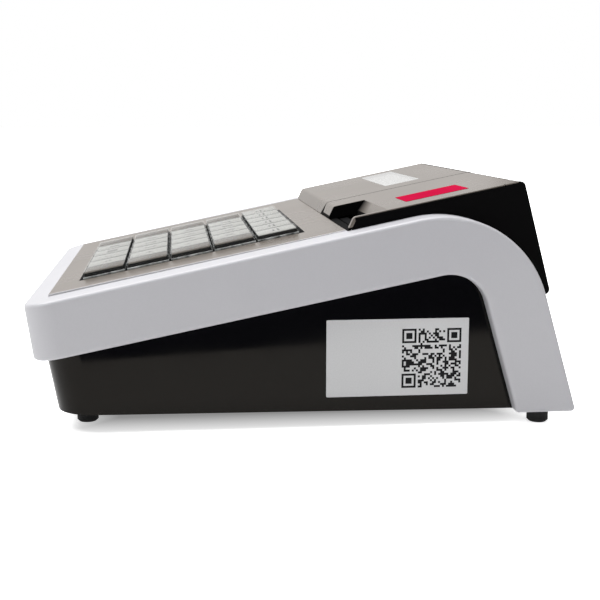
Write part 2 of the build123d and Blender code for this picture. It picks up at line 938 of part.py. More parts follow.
def motor_pinion():
    phase = pinion_direction + 180.0
    share = (pinion_direction / (360.0 / platen_teeth)) % 1.0
    phase += (share + 0.5) * 360.0 / pinion_teeth
    wheel = cross_gear(pinion_teeth, phase, gear_left, pinion_along, pinion_above)
    shaft = cross_rod(
        motor_right - motor_bore_depth + 1, gear_left, pinion_along, pinion_above, motor_shaft
    )
    return wheel + shaft


def feed_motor():
    can = cross_rod(
        motor_right - motor_length, motor_right, pinion_along, pinion_above, motor_radius
    )
    bore = motor_shaft + shaft_gap
    bore_end = motor_right - motor_bore_depth
    return can - cross_rod(bore_end, motor_right + 1, pinion_along, pinion_above, bore)


def printer_frame():
    left = motor_right + seat_gap
    right = right_cheek_left + rim_wall
    wall_front = front_bar_rear + seat_gap
    low = head_low - head_base
    body = deck_block(left, right, wall_front, printer_wall_rear, low, tear_bar_low - seat_gap)
    body += deck_block(
        mouth_left + side_gap, right, wall_front, tray_front - 1.0, low, head_low - seat_gap
    )
    plate_rear = pinion_along + motor_radius - 1.5
    plate_right = left + cheek_thickness
    body += deck_block(left, plate_right, wall_front, plate_rear, low, plate_above)
    hole = motor_shaft + gear_side
    body -= cross_rod(left - 1, plate_right + 1, pinion_along, pinion_above, hole)
    # room for the roller's gear when the lid lifts
    gear_room = platen_along - gear_module * (platen_teeth / 2 + 0.9) - 2.0
    return body - deck_block(plate_right, mouth_left, gear_room, roll_along, -reach, reach)


def thermal_head():
    """The heat sink with the print line's raised bar on it."""
    top = platen_above - platen_radius - 0.2
    left = mouth_left + cheek_thickness + 0.3
    right = right_cheek_left - 1
    front = printer_wall_rear + 1.5
    rear = printer_wall_rear + head_run
    bar_front = platen_along - head_width / 2
    body = deck_block(left, right, front, rear, head_low, top - head_step)
    return body + deck_block(left, right, bar_front, bar_front + head_width, head_low, top)


def tear_bar():
    """Steel strip on the printer's front wall, with a saw edge towards the paper."""
    left = mouth_left + cheek_thickness - side_gap
    count = int(paper_width / tear_pitch)
    rear = printer_wall_rear
    points = [(left, rear - tear_run)]
    for tooth in range(count):
        points.append((left + tooth * tear_pitch, rear - tear_depth))
        points.append((left + (tooth + 0.5) * tear_pitch, rear))
    points.append((left + count * tear_pitch, rear - tear_depth))
    points.append((left + count * tear_pitch, rear - tear_run))
    face = make_face(Polyline(*points, close=True))
    return deck_plane * Pos(0, 0, tear_bar_low) * extrude(face, tear_thickness, dir=(0, 0, 1))


def paper_tray():
    y, z = on_deck(roll_along, roll_above)
    outer_radius = roll_radius + tray_gap + tray_wall
    ends = (tray_left - tray_wall, tray_right + rim_wall)
    body = cross_rod(*ends, roll_along, roll_above, outer_radius)
    foot = tray_foot_width
    for left in (tray_left + foot, tray_right - 2 * foot):
        body += block(left, left + foot, y - tray_foot, y + tray_foot, tray_foot_low, z)
    body -= cross_rod(tray_left, tray_right, roll_along, roll_above, roll_radius + tray_gap)
    return body - block(-reach, reach, -reach, reach, z + tray_rise, reach)


def paper_roll():
    y, z = on_deck(roll_along, roll_above)
    drop = tray_gap - seat_gap
    half = paper_width / 2
    roll = Rot(0, 90, 0) * (
        Cylinder(roll_radius, 2 * half) - Cylinder(roll_core_radius, 2 * half + 2)
    )
    return Pos(paper_middle, y, z - drop) * roll


# ---------------------------------------------------------------- boards and sockets
def main_board():
    return block(board_left, board_right, board_front, board_rear, board_low, board_top)


def socket(left, width, height, depth):
    """A socket's body on the board's rear edge, its face flush with the case's back."""
    rear = case_rear - side_gap
    return block(left, left + width, rear - depth, rear, board_top, board_top + height)


def socket_sizes():
    """Left side, width, height and depth of each socket's body."""
    return {
        "dc_socket": (board_left + dc_offset, dc_width, dc_width, dc_depth),
        "drawer_socket": (board_left + drawer_offset, drawer_width, drawer_width, drawer_depth),
        "serial_socket": (board_left + serial_offset, serial_width, serial_height, serial_depth),
        "usb_socket": (board_left + usb_offset, usb_width, usb_height, usb_depth),
    }


def dc_socket():
    left, width, height, depth = socket_sizes()["dc_socket"]
    middle = Pos(left + width / 2, case_rear, board_top + height / 2) * Rot(90, 0, 0)
    bore = middle * Cylinder(dc_bore, 2 * (depth - dc_floor))
    pin = Pos(0, -depth / 2, 0) * middle * Cylinder(dc_pin, depth - dc_floor - seat_gap)
    return socket(left, width, height, depth) - bore + pin


def jack(name, hole_width, hole_height, hole_depth):
    """A socket with a square hole in its face."""
    left, width, height, depth = socket_sizes()[name]
    side = (width - hole_width) / 2
    low = board_top + (height - hole_height) / 2
    hole = block(
        left + side,
        left + width - side,
        case_rear - hole_depth,
        case_rear + 1,
        low,
        low + hole_height,
    )
    return socket(left, width, height, depth) - hole


def drawer_socket():
    return jack("drawer_socket", drawer_hole_width, drawer_hole_height, drawer_hole_depth)


def serial_socket():
    return jack("serial_socket", serial_hole_width, serial_hole_height, serial_hole_depth)


def usb_socket():
    body = jack("usb_socket", usb_hole_width, usb_hole_height, usb_hole_depth)
    left, width, height, depth = socket_sizes()["usb_socket"]
    side = (width - usb_tongue_width) / 2
    low = board_top + (height - usb_tongue_height) / 2
    tongue = block(
        left + side,
        left + width - side,
        case_rear - usb_hole_depth - 1,
        case_rear - 1,
        low,
        low + usb_tongue_height,
    )
    return body + tongue


# ---------------------------------------------------------------- feet and screws
def foot(x, y, top):
    """A round rubber foot whose lowest part narrows."""
    low = foot_radius - foot_base_radius
    body = Pos(x, y, (low + top) / 2) * Cylinder(foot_radius, top - low)
    return body + Pos(x, y, low / 2) * Cone(foot_base_radius, foot_radius, low)


def rubber_feet():
    feet = []
    front_x = frame_half - front_foot_inset
    rear_x = frame_half - rear_foot_inset
    front_y = -half_length + front_foot_back
    rear_y = half_length - rear_foot_forward
    for side in (-1, 1):
        feet.append(foot(side * front_x, front_y, case_bottom_front + 1) - case_form())
        feet.append(foot(side * rear_x, rear_y, leg_bottom))
    return Compound(children=feet)


def screw(x, y):
    top = screw_seat(y)
    body = Pos(x, y, top - screw_head_height / 2) * Cylinder(screw_head_radius, screw_head_height)
    return body + Pos(x, y, top + screw_reach / 2) * Cylinder(screw_radius, screw_reach)


def case_screws():
    return Compound(children=[screw(x, y) for x, y in screw_places()])


def build():
    os.makedirs("parts", exist_ok=True)
    made = {
        "side_frame": side_frame(),
        "lower_case": lower_case(),
        "key_plate": key_plate(),
        "key_guide": key_guide(),
        "key_board": key_board(),
        "rear_housing": rear_housing(),
        "display_cover": display_cover(),
        "display_window": display_window(),
        "display_module": display_module(),
        "customer_window": customer_window(),
        "customer_module": customer_module(),
        "paper_cover": paper_cover(),
        "cover_hinge_pin": cover_hinge_pin(),
        "platen_roller": platen_roller(),
        "motor_pinion": motor_pinion(),
        "feed_motor": feed_motor(),
        "printer_frame": printer_frame(),
        "thermal_head": thermal_head(),
        "tear_bar": tear_bar(),
        "paper_tray": paper_tray(),
        "paper_roll": paper_roll(),
        "main_board": main_board(),
        "dc_socket": dc_socket(),
        "drawer_socket": drawer_socket(),
        "serial_socket": serial_socket(),
        "usb_socket": usb_socket(),
        "rubber_feet": rubber_feet(),
        "case_screws": case_screws(),
    }
    solids = key_solids()
    for row, column in every_key():
        placed = [at_key(row, column, solid) for solid in solids]
        made[f"key_r{row}_c{column}"] = Compound(children=placed)
    for name, shape in made.items():
        export_step(shape, f"parts/{name}.step")


build()
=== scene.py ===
from math import cos, pi, radians, sin, tan

import bmesh
import bpy
from mathutils import Matrix, Vector

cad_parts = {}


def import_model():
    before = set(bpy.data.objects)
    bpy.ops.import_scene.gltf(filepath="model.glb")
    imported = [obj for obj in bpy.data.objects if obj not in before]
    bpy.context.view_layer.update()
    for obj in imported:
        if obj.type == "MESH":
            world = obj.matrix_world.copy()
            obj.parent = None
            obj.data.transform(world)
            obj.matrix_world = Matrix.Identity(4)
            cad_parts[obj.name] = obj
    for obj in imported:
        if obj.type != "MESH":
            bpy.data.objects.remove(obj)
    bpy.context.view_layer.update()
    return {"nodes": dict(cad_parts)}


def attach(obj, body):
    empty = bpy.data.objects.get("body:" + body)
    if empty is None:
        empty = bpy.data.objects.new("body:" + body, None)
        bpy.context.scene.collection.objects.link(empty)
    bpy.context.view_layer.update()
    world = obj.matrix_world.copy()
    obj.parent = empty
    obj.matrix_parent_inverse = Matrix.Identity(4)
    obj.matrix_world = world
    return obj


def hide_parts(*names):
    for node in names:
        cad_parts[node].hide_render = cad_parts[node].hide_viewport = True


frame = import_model()
nodes = frame["nodes"]
print("frame loaded:", len(nodes), "nodes")

# the deck's plane rises to the rear; places on it are across, along it and above it
deckAngle = radians(11.6)
deckHeight = 0.0895
deckMatrix = Matrix.Translation((0, 0, deckHeight)) @ Matrix.Rotation(deckAngle, 4, "X")
topLevel = 0.0065  # of the housing's and lid's tops above the deck


def onDeck(x, along, above):
    return deckMatrix @ Vector((x, along, above))


# one camera, at the operator's right
cameraSettings = {
    "place": (0.6046, -0.0607, 0.1476),
    "yaw": 5.905,  # degrees from straight left towards the rear
    "pitch": 8.871,  # degrees down
    "lens": 64.2,
    "sensor": 36,
    "shift": 0.025,
    "near": 0.01,
    "far": 50,
}


def addCamera(s):
    bpy.ops.object.camera_add(location=s["place"])
    camera = bpy.context.object
    camera.name = "studioCamera"
    camera.rotation_euler = (radians(90 - s["pitch"]), 0, radians(90 - s["yaw"]))
    camera.data.lens = s["lens"]
    camera.data.sensor_width = s["sensor"]
    camera.data.shift_x = s["shift"]
    camera.data.shift_y = -s["shift"]
    camera.data.clip_start = s["near"]
    camera.data.clip_end = s["far"]
    bpy.context.scene.camera = camera


addCamera(cameraSettings)
print("camera placed")


# helpers that model as by hand
straight = 0.9  # least share of a direction along an axis that counts as along it


def deselectAll():
    active = bpy.context.view_layer.objects.active
    if active and active.mode != "OBJECT":
        bpy.ops.object.mode_set(mode="OBJECT")
    bpy.ops.object.select_all(action="DESELECT")


def pickObject(piece):
    deselectAll()
    piece.select_set(True)
    bpy.context.view_layer.objects.active = piece


def applyPlace(piece):
    pickObject(piece)
    bpy.ops.object.transform_apply(location=True, rotation=True, scale=True)


def named(name):
    piece = bpy.context.object
    piece.name = name
    piece.data.name = name
    return piece


# a box between its low and high corners
def addCube(name, low, high):
    deselectAll()
    low, high = Vector(low), Vector(high)
    bpy.ops.mesh.primitive_cube_add(size=1, location=(low + high) / 2)
    piece = named(name)
    piece.scale = high - low
    applyPlace(piece)
    return piece


def addRod(name, start, end, radius, vertices=32):
    deselectAll()
    start, end = Vector(start), Vector(end)
    bpy.ops.mesh.primitive_cylinder_add(
        vertices=vertices, radius=radius, depth=(end - start).length, location=(start + end) / 2
    )
    piece = named(name)
    piece.rotation_euler = (end - start).to_track_quat("Z", "Y").to_euler()
    applyPlace(piece)
    return piece


# edit mode with only the faces or edges picked that pass the test
def editParts(piece, kind, test):
    pickObject(piece)
    bpy.ops.object.mode_set(mode="EDIT")
    bpy.ops.mesh.select_mode(type=kind)
    bpy.ops.mesh.select_all(action="DESELECT")
    shape = bmesh.from_edit_mesh(piece.data)
    for part in shape.faces if kind == "FACE" else shape.edges:
        part.select = test(part)
    shape.select_flush_mode()
    bmesh.update_edit_mesh(piece.data)


def leaveEdit():
    bpy.ops.object.mode_set(mode="OBJECT")


def edgeRun(edge):
    return (edge.verts[1].co - edge.verts[0].co).normalized()


def roundEdges(piece, test, radius, segments=3):
    editParts(piece, "EDGE", test)
    bpy.ops.mesh.bevel(offset=radius, segments=segments, affect="EDGES")
    leaveEdit()


# rounds the edges that run along one axis
def roundCorners(piece, axis, radius, segments=3):
    roundEdges(piece, lambda edge: abs(edgeRun(edge)[axis]) > straight, radius, segments)


# the underside is inset by a margin, and what is left of it is moved up or down
def drawUnderside(piece, margin, rise):
    editParts(piece, "FACE", lambda face: face.normal.z < -straight)
    bpy.ops.mesh.inset(thickness=margin)
    bpy.ops.mesh.extrude_region_move(TRANSFORM_OT_translate={"value": (0, 0, rise)})
    leaveEdit()


# a solid's two ends, square to one axis, are joined by a hole that leaves a wall
def hollowThrough(piece, axis, wall):
    editParts(piece, "FACE", lambda face: abs(face.normal[axis]) > straight)
    bpy.ops.mesh.inset(thickness=wall)
    bpy.ops.mesh.bridge_edge_loops()
    leaveEdit()


# a thin plate with rounded corners; axis is the one it is thin along
def thinPlate(name, low, high, corner, axis):
    plate = addCube(name, low, high)
    roundCorners(plate, axis, corner, 4)
    return plate


def addBevel(piece, width, segments=2, angle=30):
    bevel = piece.modifiers.new("edgeRounding", "BEVEL")
    bevel.width = width
    bevel.segments = segments
    bevel.limit_method = "ANGLE"
    bevel.angle_limit = radians(angle)
    bevel.harden_normals = False
    finishModifier(piece, bevel)


def finishModifier(piece, modifier):
    pickObject(piece)
    bpy.ops.object.modifier_apply(modifier=modifier.name)


def smooth(piece, angle=35):
    pickObject(piece)
    bpy.ops.object.shade_smooth_by_angle(angle=radians(angle))


def combine(piece, tool, operation):
    change = piece.modifiers.new("combined", "BOOLEAN")
    change.operation = operation
    change.solver = "EXACT"
    change.object = tool
    finishModifier(piece, change)
    bpy.data.objects.remove(tool, do_unlink=True)


def join(name, parts):
    deselectAll()
    for part in parts:
        part.select_set(True)
    bpy.context.view_layer.objects.active = parts[0]
    if len(parts) > 1:
        bpy.ops.object.join()
    return named(name)


def copyOf(piece, name):
    twin = piece.copy()
    twin.data = piece.data.copy()
    twin.name = name
    twin.data.name = name
    bpy.context.scene.collection.objects.link(twin)
    return twin


def move(piece, matrix):
    piece.matrix_world = matrix
    applyPlace(piece)


# a piece whose model already has its materials is dressed with None
def dress(piece, material, body, slot, *replaced):
    if material:
        piece.data.materials.clear()
        piece.data.materials.append(materials[material])
    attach(piece, body)
    if replaced:
        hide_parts(*replaced)


# helpers that build node materials
def newMaterial(name):
    material = bpy.data.materials.new(name)
    material.use_nodes = True
    tree = material.node_tree
    return material, tree, tree.nodes["Principled BSDF"]


# fills a node's inputs with numbers, colours or other nodes' outputs
def feed(tree, node, inputs):
    for name, value in inputs.items():
        socket = node.inputs[name]
        if isinstance(value, (int, float)):
            socket.default_value = value
        elif isinstance(value, tuple):
            socket.default_value = (*value, 1)
        else:
            tree.links.new(value, socket)


# the point on the piece itself
def ownPoint(tree):
    return tree.nodes.new("ShaderNodeTexCoord").outputs["Object"]


def ownPlaces(tree):
    parts = tree.nodes.new("ShaderNodeSeparateXYZ")
    tree.links.new(ownPoint(tree), parts.inputs[0])
    return [parts.outputs[axis] for axis in "XYZ"]


def objectPoints(tree, scale=(1, 1, 1)):
    mapping = tree.nodes.new("ShaderNodeMapping")
    mapping.inputs["Scale"].default_value = scale
    tree.links.new(ownPoint(tree), mapping.inputs["Vector"])
    return mapping.outputs["Vector"]


def noise(tree, points, scale, detail=3.0, roughness=0.5):
    texture = tree.nodes.new("ShaderNodeTexNoise")
    feed(tree, texture, {"Vector": points, "Scale": scale, "Detail": detail, "Roughness": roughness})
    return texture.outputs["Fac"]


noiseSpan = (0.3, 0.7)  # where most of a noise's values lie


def ramp(tree, value, low, high, colorLow, colorHigh):
    blend = tree.nodes.new("ShaderNodeValToRGB")
    blend.color_ramp.elements[0].position = low
    blend.color_ramp.elements[1].position = high
    blend.color_ramp.elements[0].color = (*colorLow, 1)
    blend.color_ramp.elements[1].color = (*colorHigh, 1)
    tree.links.new(value, blend.inputs["Fac"])
    return blend.outputs["Color"]


def rangeOf(tree, value, fromLow, fromHigh, toLow, toHigh):
    change = tree.nodes.new("ShaderNodeMapRange")
    feed(tree, change, {
        "Value": value, "From Min": fromLow, "From Max": fromHigh, "To Min": toLow, "To Max": toHigh,
    })
    return change.outputs["Result"]


def bump(tree, shader, height, strength, distance):
    relief = tree.nodes.new("ShaderNodeBump")
    feed(tree, relief, {"Height": height, "Strength": strength, "Distance": distance})
    tree.links.new(relief.outputs["Normal"], shader.inputs["Normal"])


def mixColors(tree, factor, first, second, mode="MIX"):
    blend = tree.nodes.new("ShaderNodeMix")
    blend.data_type = "RGBA"
    blend.blend_type = mode
    feed(tree, blend, {0: factor, 6: first, 7: second})
    return blend.outputs[2]


def maths(tree, operation, first, second=0.0):
    step = tree.nodes.new("ShaderNodeMath")
    step.operation = operation
    feed(tree, step, {0: first, 1: second})
    return step.outputs[0]


def times(tree, first, *others):
    for other in others:
        first = maths(tree, "MULTIPLY", first, other)
    return first


def largest(tree, first, *others):
    for other in others:
        first = maths(tree, "MAXIMUM", first, other)
    return first


def opposite(tree, share):
    return maths(tree, "SUBTRACT", 1.0, share)


# 1 past an edge and 0 before it, with a thin blend across it
def past(tree, value, edge, blend):
    return rangeOf(tree, value, edge - blend, edge + blend, 0, 1)


def before(tree, value, edge, blend):
    return rangeOf(tree, value, edge - blend, edge + blend, 1, 0)


# what a look below leaves out
plainPlastic = {
    "slowScale": 9, "grainScale": 1400, "speck": 0.04, "smudgeScale": 30, "roughSwing": 0.05,
    "relief": 0.15, "reliefDepth": 0.00005, "specular": 0.5, "specularTint": (1, 1, 1),
}


# moulded plastic: slow tone change, fine grain in colour, gloss and relief
def mouldedPlastic(name, look):
    s = {**plainPlastic, **look}
    material, tree, shader = newMaterial(name)
    points = objectPoints(tree)
    slow = noise(tree, points, s["slowScale"], 2)
    grain = noise(tree, points, s["grainScale"], 2)
    tone = ramp(tree, slow, *noiseSpan, s["dark"], s["light"])
    fine = ramp(tree, grain, 0.35, 0.65, (1 - s["speck"],) * 3, (1, 1, 1))
    smudge = noise(tree, points, s["smudgeScale"], 4, 0.6)
    smooth, coarse = s["rough"] - s["roughSwing"], s["rough"] + s["roughSwing"]
    feed(tree, shader, {
        "Base Color": mixColors(tree, 1.0, tone, fine, "MULTIPLY"),
        "Roughness": rangeOf(tree, smudge, *noiseSpan, smooth, coarse),
        "Specular IOR Level": s["specular"], "Specular Tint": s["specularTint"],
    })
    bump(tree, shader, grain, s["relief"], s["reliefDepth"])
    return material


labelCard = {
    "rough": 0.6, "slowScale": 60, "grainScale": 2600, "relief": 0.2, "speck": 0.05, "specular": 0.0,
}
plasticLooks = {
    "whitePlastic": {
        "dark": (0.585, 0.58, 0.61), "light": (0.612, 0.607, 0.632), "rough": 0.38,
        "grainScale": 1800, "relief": 0.12, "speck": 0.02,
    },
    "glossBlack": {
        "dark": (0.0032, 0.0032, 0.0040), "light": (0.0040, 0.0040, 0.0048), "rough": 0.08,
        "roughSwing": 0.03, "relief": 0.02, "specular": 0.2, "grainScale": 700,
        "specularTint": (1.0, 0.92, 0.80),
    },
    "housingBlack": {
        "dark": (0.0022, 0.002, 0.0022), "light": (0.003, 0.0028, 0.003), "rough": 0.4,
        "relief": 0.25, "specular": 0.06, "grainScale": 1600,
    },
    "innerBlack": {
        "dark": (0.004, 0.004, 0.0045), "light": (0.006, 0.006, 0.0065), "rough": 0.7,
        "roughSwing": 0.06, "relief": 0.3, "specular": 0.05, "grainScale": 1200,
    },
    "keyBlack": {
        "dark": (0.003, 0.003, 0.0035), "light": (0.005, 0.005, 0.0055), "rough": 0.5,
        "grainScale": 1500, "specular": 0.2,
    },
    "insertWhite": {"dark": (0.43, 0.425, 0.415), "light": (0.47, 0.465, 0.455), **labelCard},
    "insertTaupe": {"dark": (0.140, 0.125, 0.113), "light": (0.165, 0.148, 0.134), **labelCard},
    "nylonWhite": {
        "dark": (0.66, 0.65, 0.60), "light": (0.72, 0.71, 0.66), "rough": 0.45, "roughSwing": 0.06,
    },
    "rubberBlack": {
        "dark": (0.010, 0.010, 0.010), "light": (0.020, 0.020, 0.020), "rough": 0.75,
        "roughSwing": 0.08, "relief": 0.5, "grainScale": 900, "slowScale": 80,
    },
    "lcdGlass": {
        "dark": (0.37, 0.375, 0.35), "light": (0.41, 0.415, 0.39), "rough": 0.35, "roughSwing": 0.03,
        "slowScale": 20, "grainScale": 3000, "relief": 0.05,
    },
    "lcdGhost": {
        "dark": (0.315, 0.32, 0.30), "light": (0.345, 0.35, 0.33), "rough": 0.35, "roughSwing": 0.03,
    },
    "lcdInk": {
        "dark": (0.020, 0.024, 0.022), "light": (0.030, 0.034, 0.032), "rough": 0.4, "roughSwing": 0.03,
    },
    "headGlaze": {
        "dark": (0.030, 0.018, 0.010), "light": (0.045, 0.028, 0.016), "rough": 0.12, "roughSwing": 0.04,
    },
    "cardboard": {
        "dark": (0.36, 0.26, 0.16), "light": (0.46, 0.34, 0.22), "rough": 0.85,
        "slowScale": 90, "grainScale": 700, "relief": 0.4, "speck": 0.15,
    },
    "legendInk": {"dark": (0.03, 0.03, 0.035), "light": (0.05, 0.05, 0.055), "rough": 0.6},
    # the caps' flange sides: pale patches are painted glints of the light along the clear rim
    "capRimGlints": {
        "dark": (0.10, 0.11, 0.11), "light": (0.80, 0.83, 0.82), "rough": 0.25,
        "slowScale": 260, "grainScale": 2000, "relief": 0.1,
    },
    "redVinyl": {
        "dark": (0.47, 0.008, 0.045), "light": (0.52, 0.011, 0.055), "rough": 0.6,
        "slowScale": 40, "relief": 0.08, "specular": 0.0,
    },
}
materials = {name: mouldedPlastic(name, look) for name, look in plasticLooks.items()}


# metal with lines drawn along its stretch
def steelMaterial(name, s):
    material, tree, shader = newMaterial(name)
    lines = noise(tree, objectPoints(tree, s["stretch"]), s["scale"], 4, 0.6)
    feed(tree, shader, {
        "Base Color": ramp(tree, lines, *noiseSpan, s["dark"], s["light"]), "Metallic": 1.0,
        "Roughness": rangeOf(tree, lines, *noiseSpan, s["rough"], s["rough"] + 0.12),
    })
    bump(tree, shader, lines, 0.15, 0.00003)
    return material


metalLooks = {
    "brushedSteel": {
        "dark": (0.46, 0.46, 0.47), "light": (0.62, 0.62, 0.63), "rough": 0.24,
        "scale": 300, "stretch": (0.12, 3, 3),
    },
    "headMetal": {
        "dark": (0.05, 0.05, 0.052), "light": (0.08, 0.08, 0.082), "rough": 0.35,
        "scale": 300, "stretch": (0.2, 3, 3),
    },
    "contactGold": {
        "dark": (0.72, 0.50, 0.20), "light": (0.83, 0.62, 0.28), "rough": 0.22,
        "scale": 400, "stretch": (1, 1, 1),
    },
}
materials.update({name: steelMaterial(name, look) for name, look in metalLooks.items()})

paintLook = {
    "dark": (0.230, 0.199, 0.172), "light": (0.252, 0.218, 0.190), "toneScale": 12,
    "flake": 0.03, "flakeScale": 5200, "relief": 0.01, "reliefDepth": 0.00003,
    "rough": 0.28, "roughSwing": 0.015, "smudgeScale": 18, "metal": 0.35, "gloss": 0.25,
    "bare": (0.0022, 0.002, 0.0022),  # black plastic where no paint reaches
    "bareGloss": 0.08, "bareRough": 0.8,
    # the deck plate's outer edges: a pale painted reflection of the white frame beside them
    "plateEdgeReflection": (0.60, 0.595, 0.61),
}
# where the paint ends: across, along the deck or above it
paintEnds = {
    "fade": 0.0002,
    "outerLow": 0.0061,  # lower edge of the paint on the outer sides
    "sideStart": 0.1036,  # from the middle, past which a side counts as outer
    "rear": 0.1072,
    "frontFace": 0.0262,  # rear end of the tops' leaning front face
    "skinUnder": 0.0052,  # just over the tops' underside
    "notchLeft": 0.0390, "notchRight": 0.1013, "notchRear": 0.0430, "notchTop": 0.0063,
    "rampShadeStart": 0.041, "rampShadeEnd": 0.064,  # between them painted shade fades across the ramp, from black to the paint
    "seam": 0.0127, "seamHalf": 0.0006,  # dark walls of the gap between cover and lid
    "wedge": 0.0034, "wedgeLow": 0.0012, "wedgeHigh": 0.0058,  # the gap widens to its foot
    "lidFoot": 0.0019,
    "plateSide": 0.1008, "plateFront": 0.1224,
}


# the piece's own points as across, along the deck, square to the deck
def deckPlaces(tree):
    found = [ownPlaces(tree)[0]]
    for axis, offset in (
        ((0, cos(deckAngle), sin(deckAngle)), deckHeight * sin(deckAngle)),
        ((0, -sin(deckAngle), cos(deckAngle)), deckHeight * cos(deckAngle)),
    ):
        product = tree.nodes.new("ShaderNodeVectorMath")
        product.operation = "DOT_PRODUCT"
        product.inputs[1].default_value = axis
        tree.links.new(ownPoint(tree), product.inputs[0])
        found.append(maths(tree, "SUBTRACT", product.outputs["Value"], offset))
    return found


# 1 where the spray reached the tops: not their outer sides' lower part, nor inside the notch; across the
#                                     notch's ramp the black fading into the paint is painted shade
def topMask(tree, s):
    across, along, above = deckPlaces(tree)
    fade = s["fade"]
    fromMiddle = maths(tree, "ABSOLUTE", across)
    behindFront = past(tree, along, s["frontFace"], fade)
    outside = times(
        tree, past(tree, fromMiddle, s["sideStart"], fade),
        before(tree, above, s["outerLow"], fade), behindFront,
    )
    inNotch = times(
        tree, past(tree, across, s["notchLeft"], fade), before(tree, across, s["notchRight"], fade),
        before(tree, along, s["notchRear"], fade), before(tree, above, s["notchTop"], fade / 2),
    )
    # painted shade on the ramp: black at its left, by the notch's wall, fading into the paint
    paintedRampShade = rangeOf(tree, across, s["rampShadeStart"], s["rampShadeEnd"], 1, 0)
    rampUnshaded = times(tree, inNotch, opposite(tree, paintedRampShade))
    inside = times(
        tree, before(tree, above, s["skinUnder"] + fade / 2, fade / 2), opposite(tree, rampUnshaded),
        behindFront, before(tree, fromMiddle, s["sideStart"], fade),
    )
    foot = times(
        tree, before(tree, above, s["lidFoot"] + fade / 2, fade / 2),
        past(tree, across, s["seam"] + fade / 2, fade / 2),
    )
    fromSeam = maths(tree, "ABSOLUTE", maths(tree, "SUBTRACT", across, s["seam"]))
    wedge = rangeOf(tree, above, s["wedgeLow"], s["wedgeHigh"], s["wedge"], 0)
    beside = maths(tree, "SUBTRACT", fromSeam, wedge)
    seam = before(tree, beside, s["seamHalf"] + fade / 4, fade / 4)
    bare = largest(
        tree, outside, times(tree, inNotch, paintedRampShade), inside,
        past(tree, along, s["rear"], fade), foot, seam,
    )
    return opposite(tree, bare)


# 1 on the deck plate's face, 0 round its outer edges, which take a pale colour as a painted reflection of
# the white frame
def plateMask(tree, s):
    across, along = deckPlaces(tree)[:2]
    half = s["fade"] / 2
    side = before(tree, maths(tree, "ABSOLUTE", across), s["plateSide"] - half, half)
    return times(tree, side, past(tree, along, half - s["plateFront"], half))


# 1 on the strip of the side walls' top that is painted with the lid
def housingMask(tree, s):
    along, above = deckPlaces(tree)[1:]
    high = past(tree, above, s["outerLow"], s["fade"])
    return times(tree, high, before(tree, along, s["rear"], s["fade"]))


# metallic paint with fine flakes; a masked piece shows the under colour beside it
def taupePaint(name, s, mask, under):
    material, tree, shader = newMaterial(name)
    points = objectPoints(tree)
    slow = noise(tree, points, s["toneScale"], 2)
    tone = ramp(tree, slow, *noiseSpan, s["dark"], s["light"])
    flakes = tree.nodes.new("ShaderNodeTexVoronoi")
    feed(tree, flakes, {"Vector": points, "Scale": s["flakeScale"]})
    dull, bright = (1 - s["flake"],) * 3, (1 + s["flake"],) * 3
    glint = ramp(tree, flakes.outputs["Color"], 0.1, 0.9, dull, bright)
    color = mixColors(tree, 1.0, tone, glint, "MULTIPLY")
    smudge = noise(tree, points, s["smudgeScale"], 1)
    smooth, coarse = s["rough"] - s["roughSwing"], s["rough"] + s["roughSwing"]
    rough = rangeOf(tree, smudge, *noiseSpan, smooth, coarse)
    painted = mask(tree, paintEnds)
    rougher = times(tree, opposite(tree, painted), s["bareRough"] - s["rough"])
    feed(tree, shader, {
        "Base Color": mixColors(tree, painted, under, color),
        "Metallic": times(tree, painted, s["metal"]),
        "Roughness": maths(tree, "ADD", rough, rougher),
        "Specular IOR Level": rangeOf(tree, painted, 0, 1, s["bareGloss"], s["gloss"]),
    })
    bump(tree, shader, flakes.outputs["Distance"], s["relief"], s["reliefDepth"])
    return material


for name, mask, under in (
    ("deckPaint", plateMask, "plateEdgeReflection"), ("topPaint", topMask, "bare"),
    ("housingPaint", housingMask, "bare"),
):
    materials[name] = taupePaint(name, paintLook, mask, paintLook[under])


# clear plastic: what is behind it shows, under a gloss that is fixed or grows at a slant
clearLooks = {
    "clearCap": {"tint": (0.96, 0.955, 0.945), "rough": 0.06, "slant": 0.42},
    "capSide": {"tint": (0.93, 0.94, 0.935), "rough": 0.15, "gloss": 0.02},
    "clearPane": {
        "tint": (0.955, 0.955, 0.95), "body": (0.67, 0.665, 0.655), "rough": 0.05, "slant": 1.3,
    },
}


def clearPlastic(name, s):
    material, tree, shader = newMaterial(name)
    smudge = noise(tree, objectPoints(tree), 120, 3)
    feed(tree, shader, {
        "Base Color": s.get("body", s["tint"]),
        "Roughness": rangeOf(tree, smudge, *noiseSpan, s["rough"], s["rough"] + 0.08),
    })
    through = tree.nodes.new("ShaderNodeBsdfTransparent")
    feed(tree, through, {"Color": s["tint"]})
    blend = tree.nodes.new("ShaderNodeMixShader")
    if "gloss" in s:
        shine = s["gloss"]
    else:
        facing = tree.nodes.new("ShaderNodeLayerWeight")
        facing.inputs["Blend"].default_value = 0.5
        shine = times(tree, maths(tree, "POWER", facing.outputs["Facing"], 5), s["slant"])
    feed(tree, blend, {0: shine, 1: through.outputs[0], 2: shader.outputs[0]})
    output = next(node for node in tree.nodes if node.type == "OUTPUT_MATERIAL")
    tree.links.new(blend.outputs[0], output.inputs["Surface"])
    return material


materials.update({name: clearPlastic(name, look) for name, look in clearLooks.items()})

boardLook = {
    "scale": 190, "pitch": 0.09, "edge": (0.045, 0.055), "rough": 0.3,
    "board": (0.006, 0.060, 0.028), "copper": (0.012, 0.105, 0.050),
}


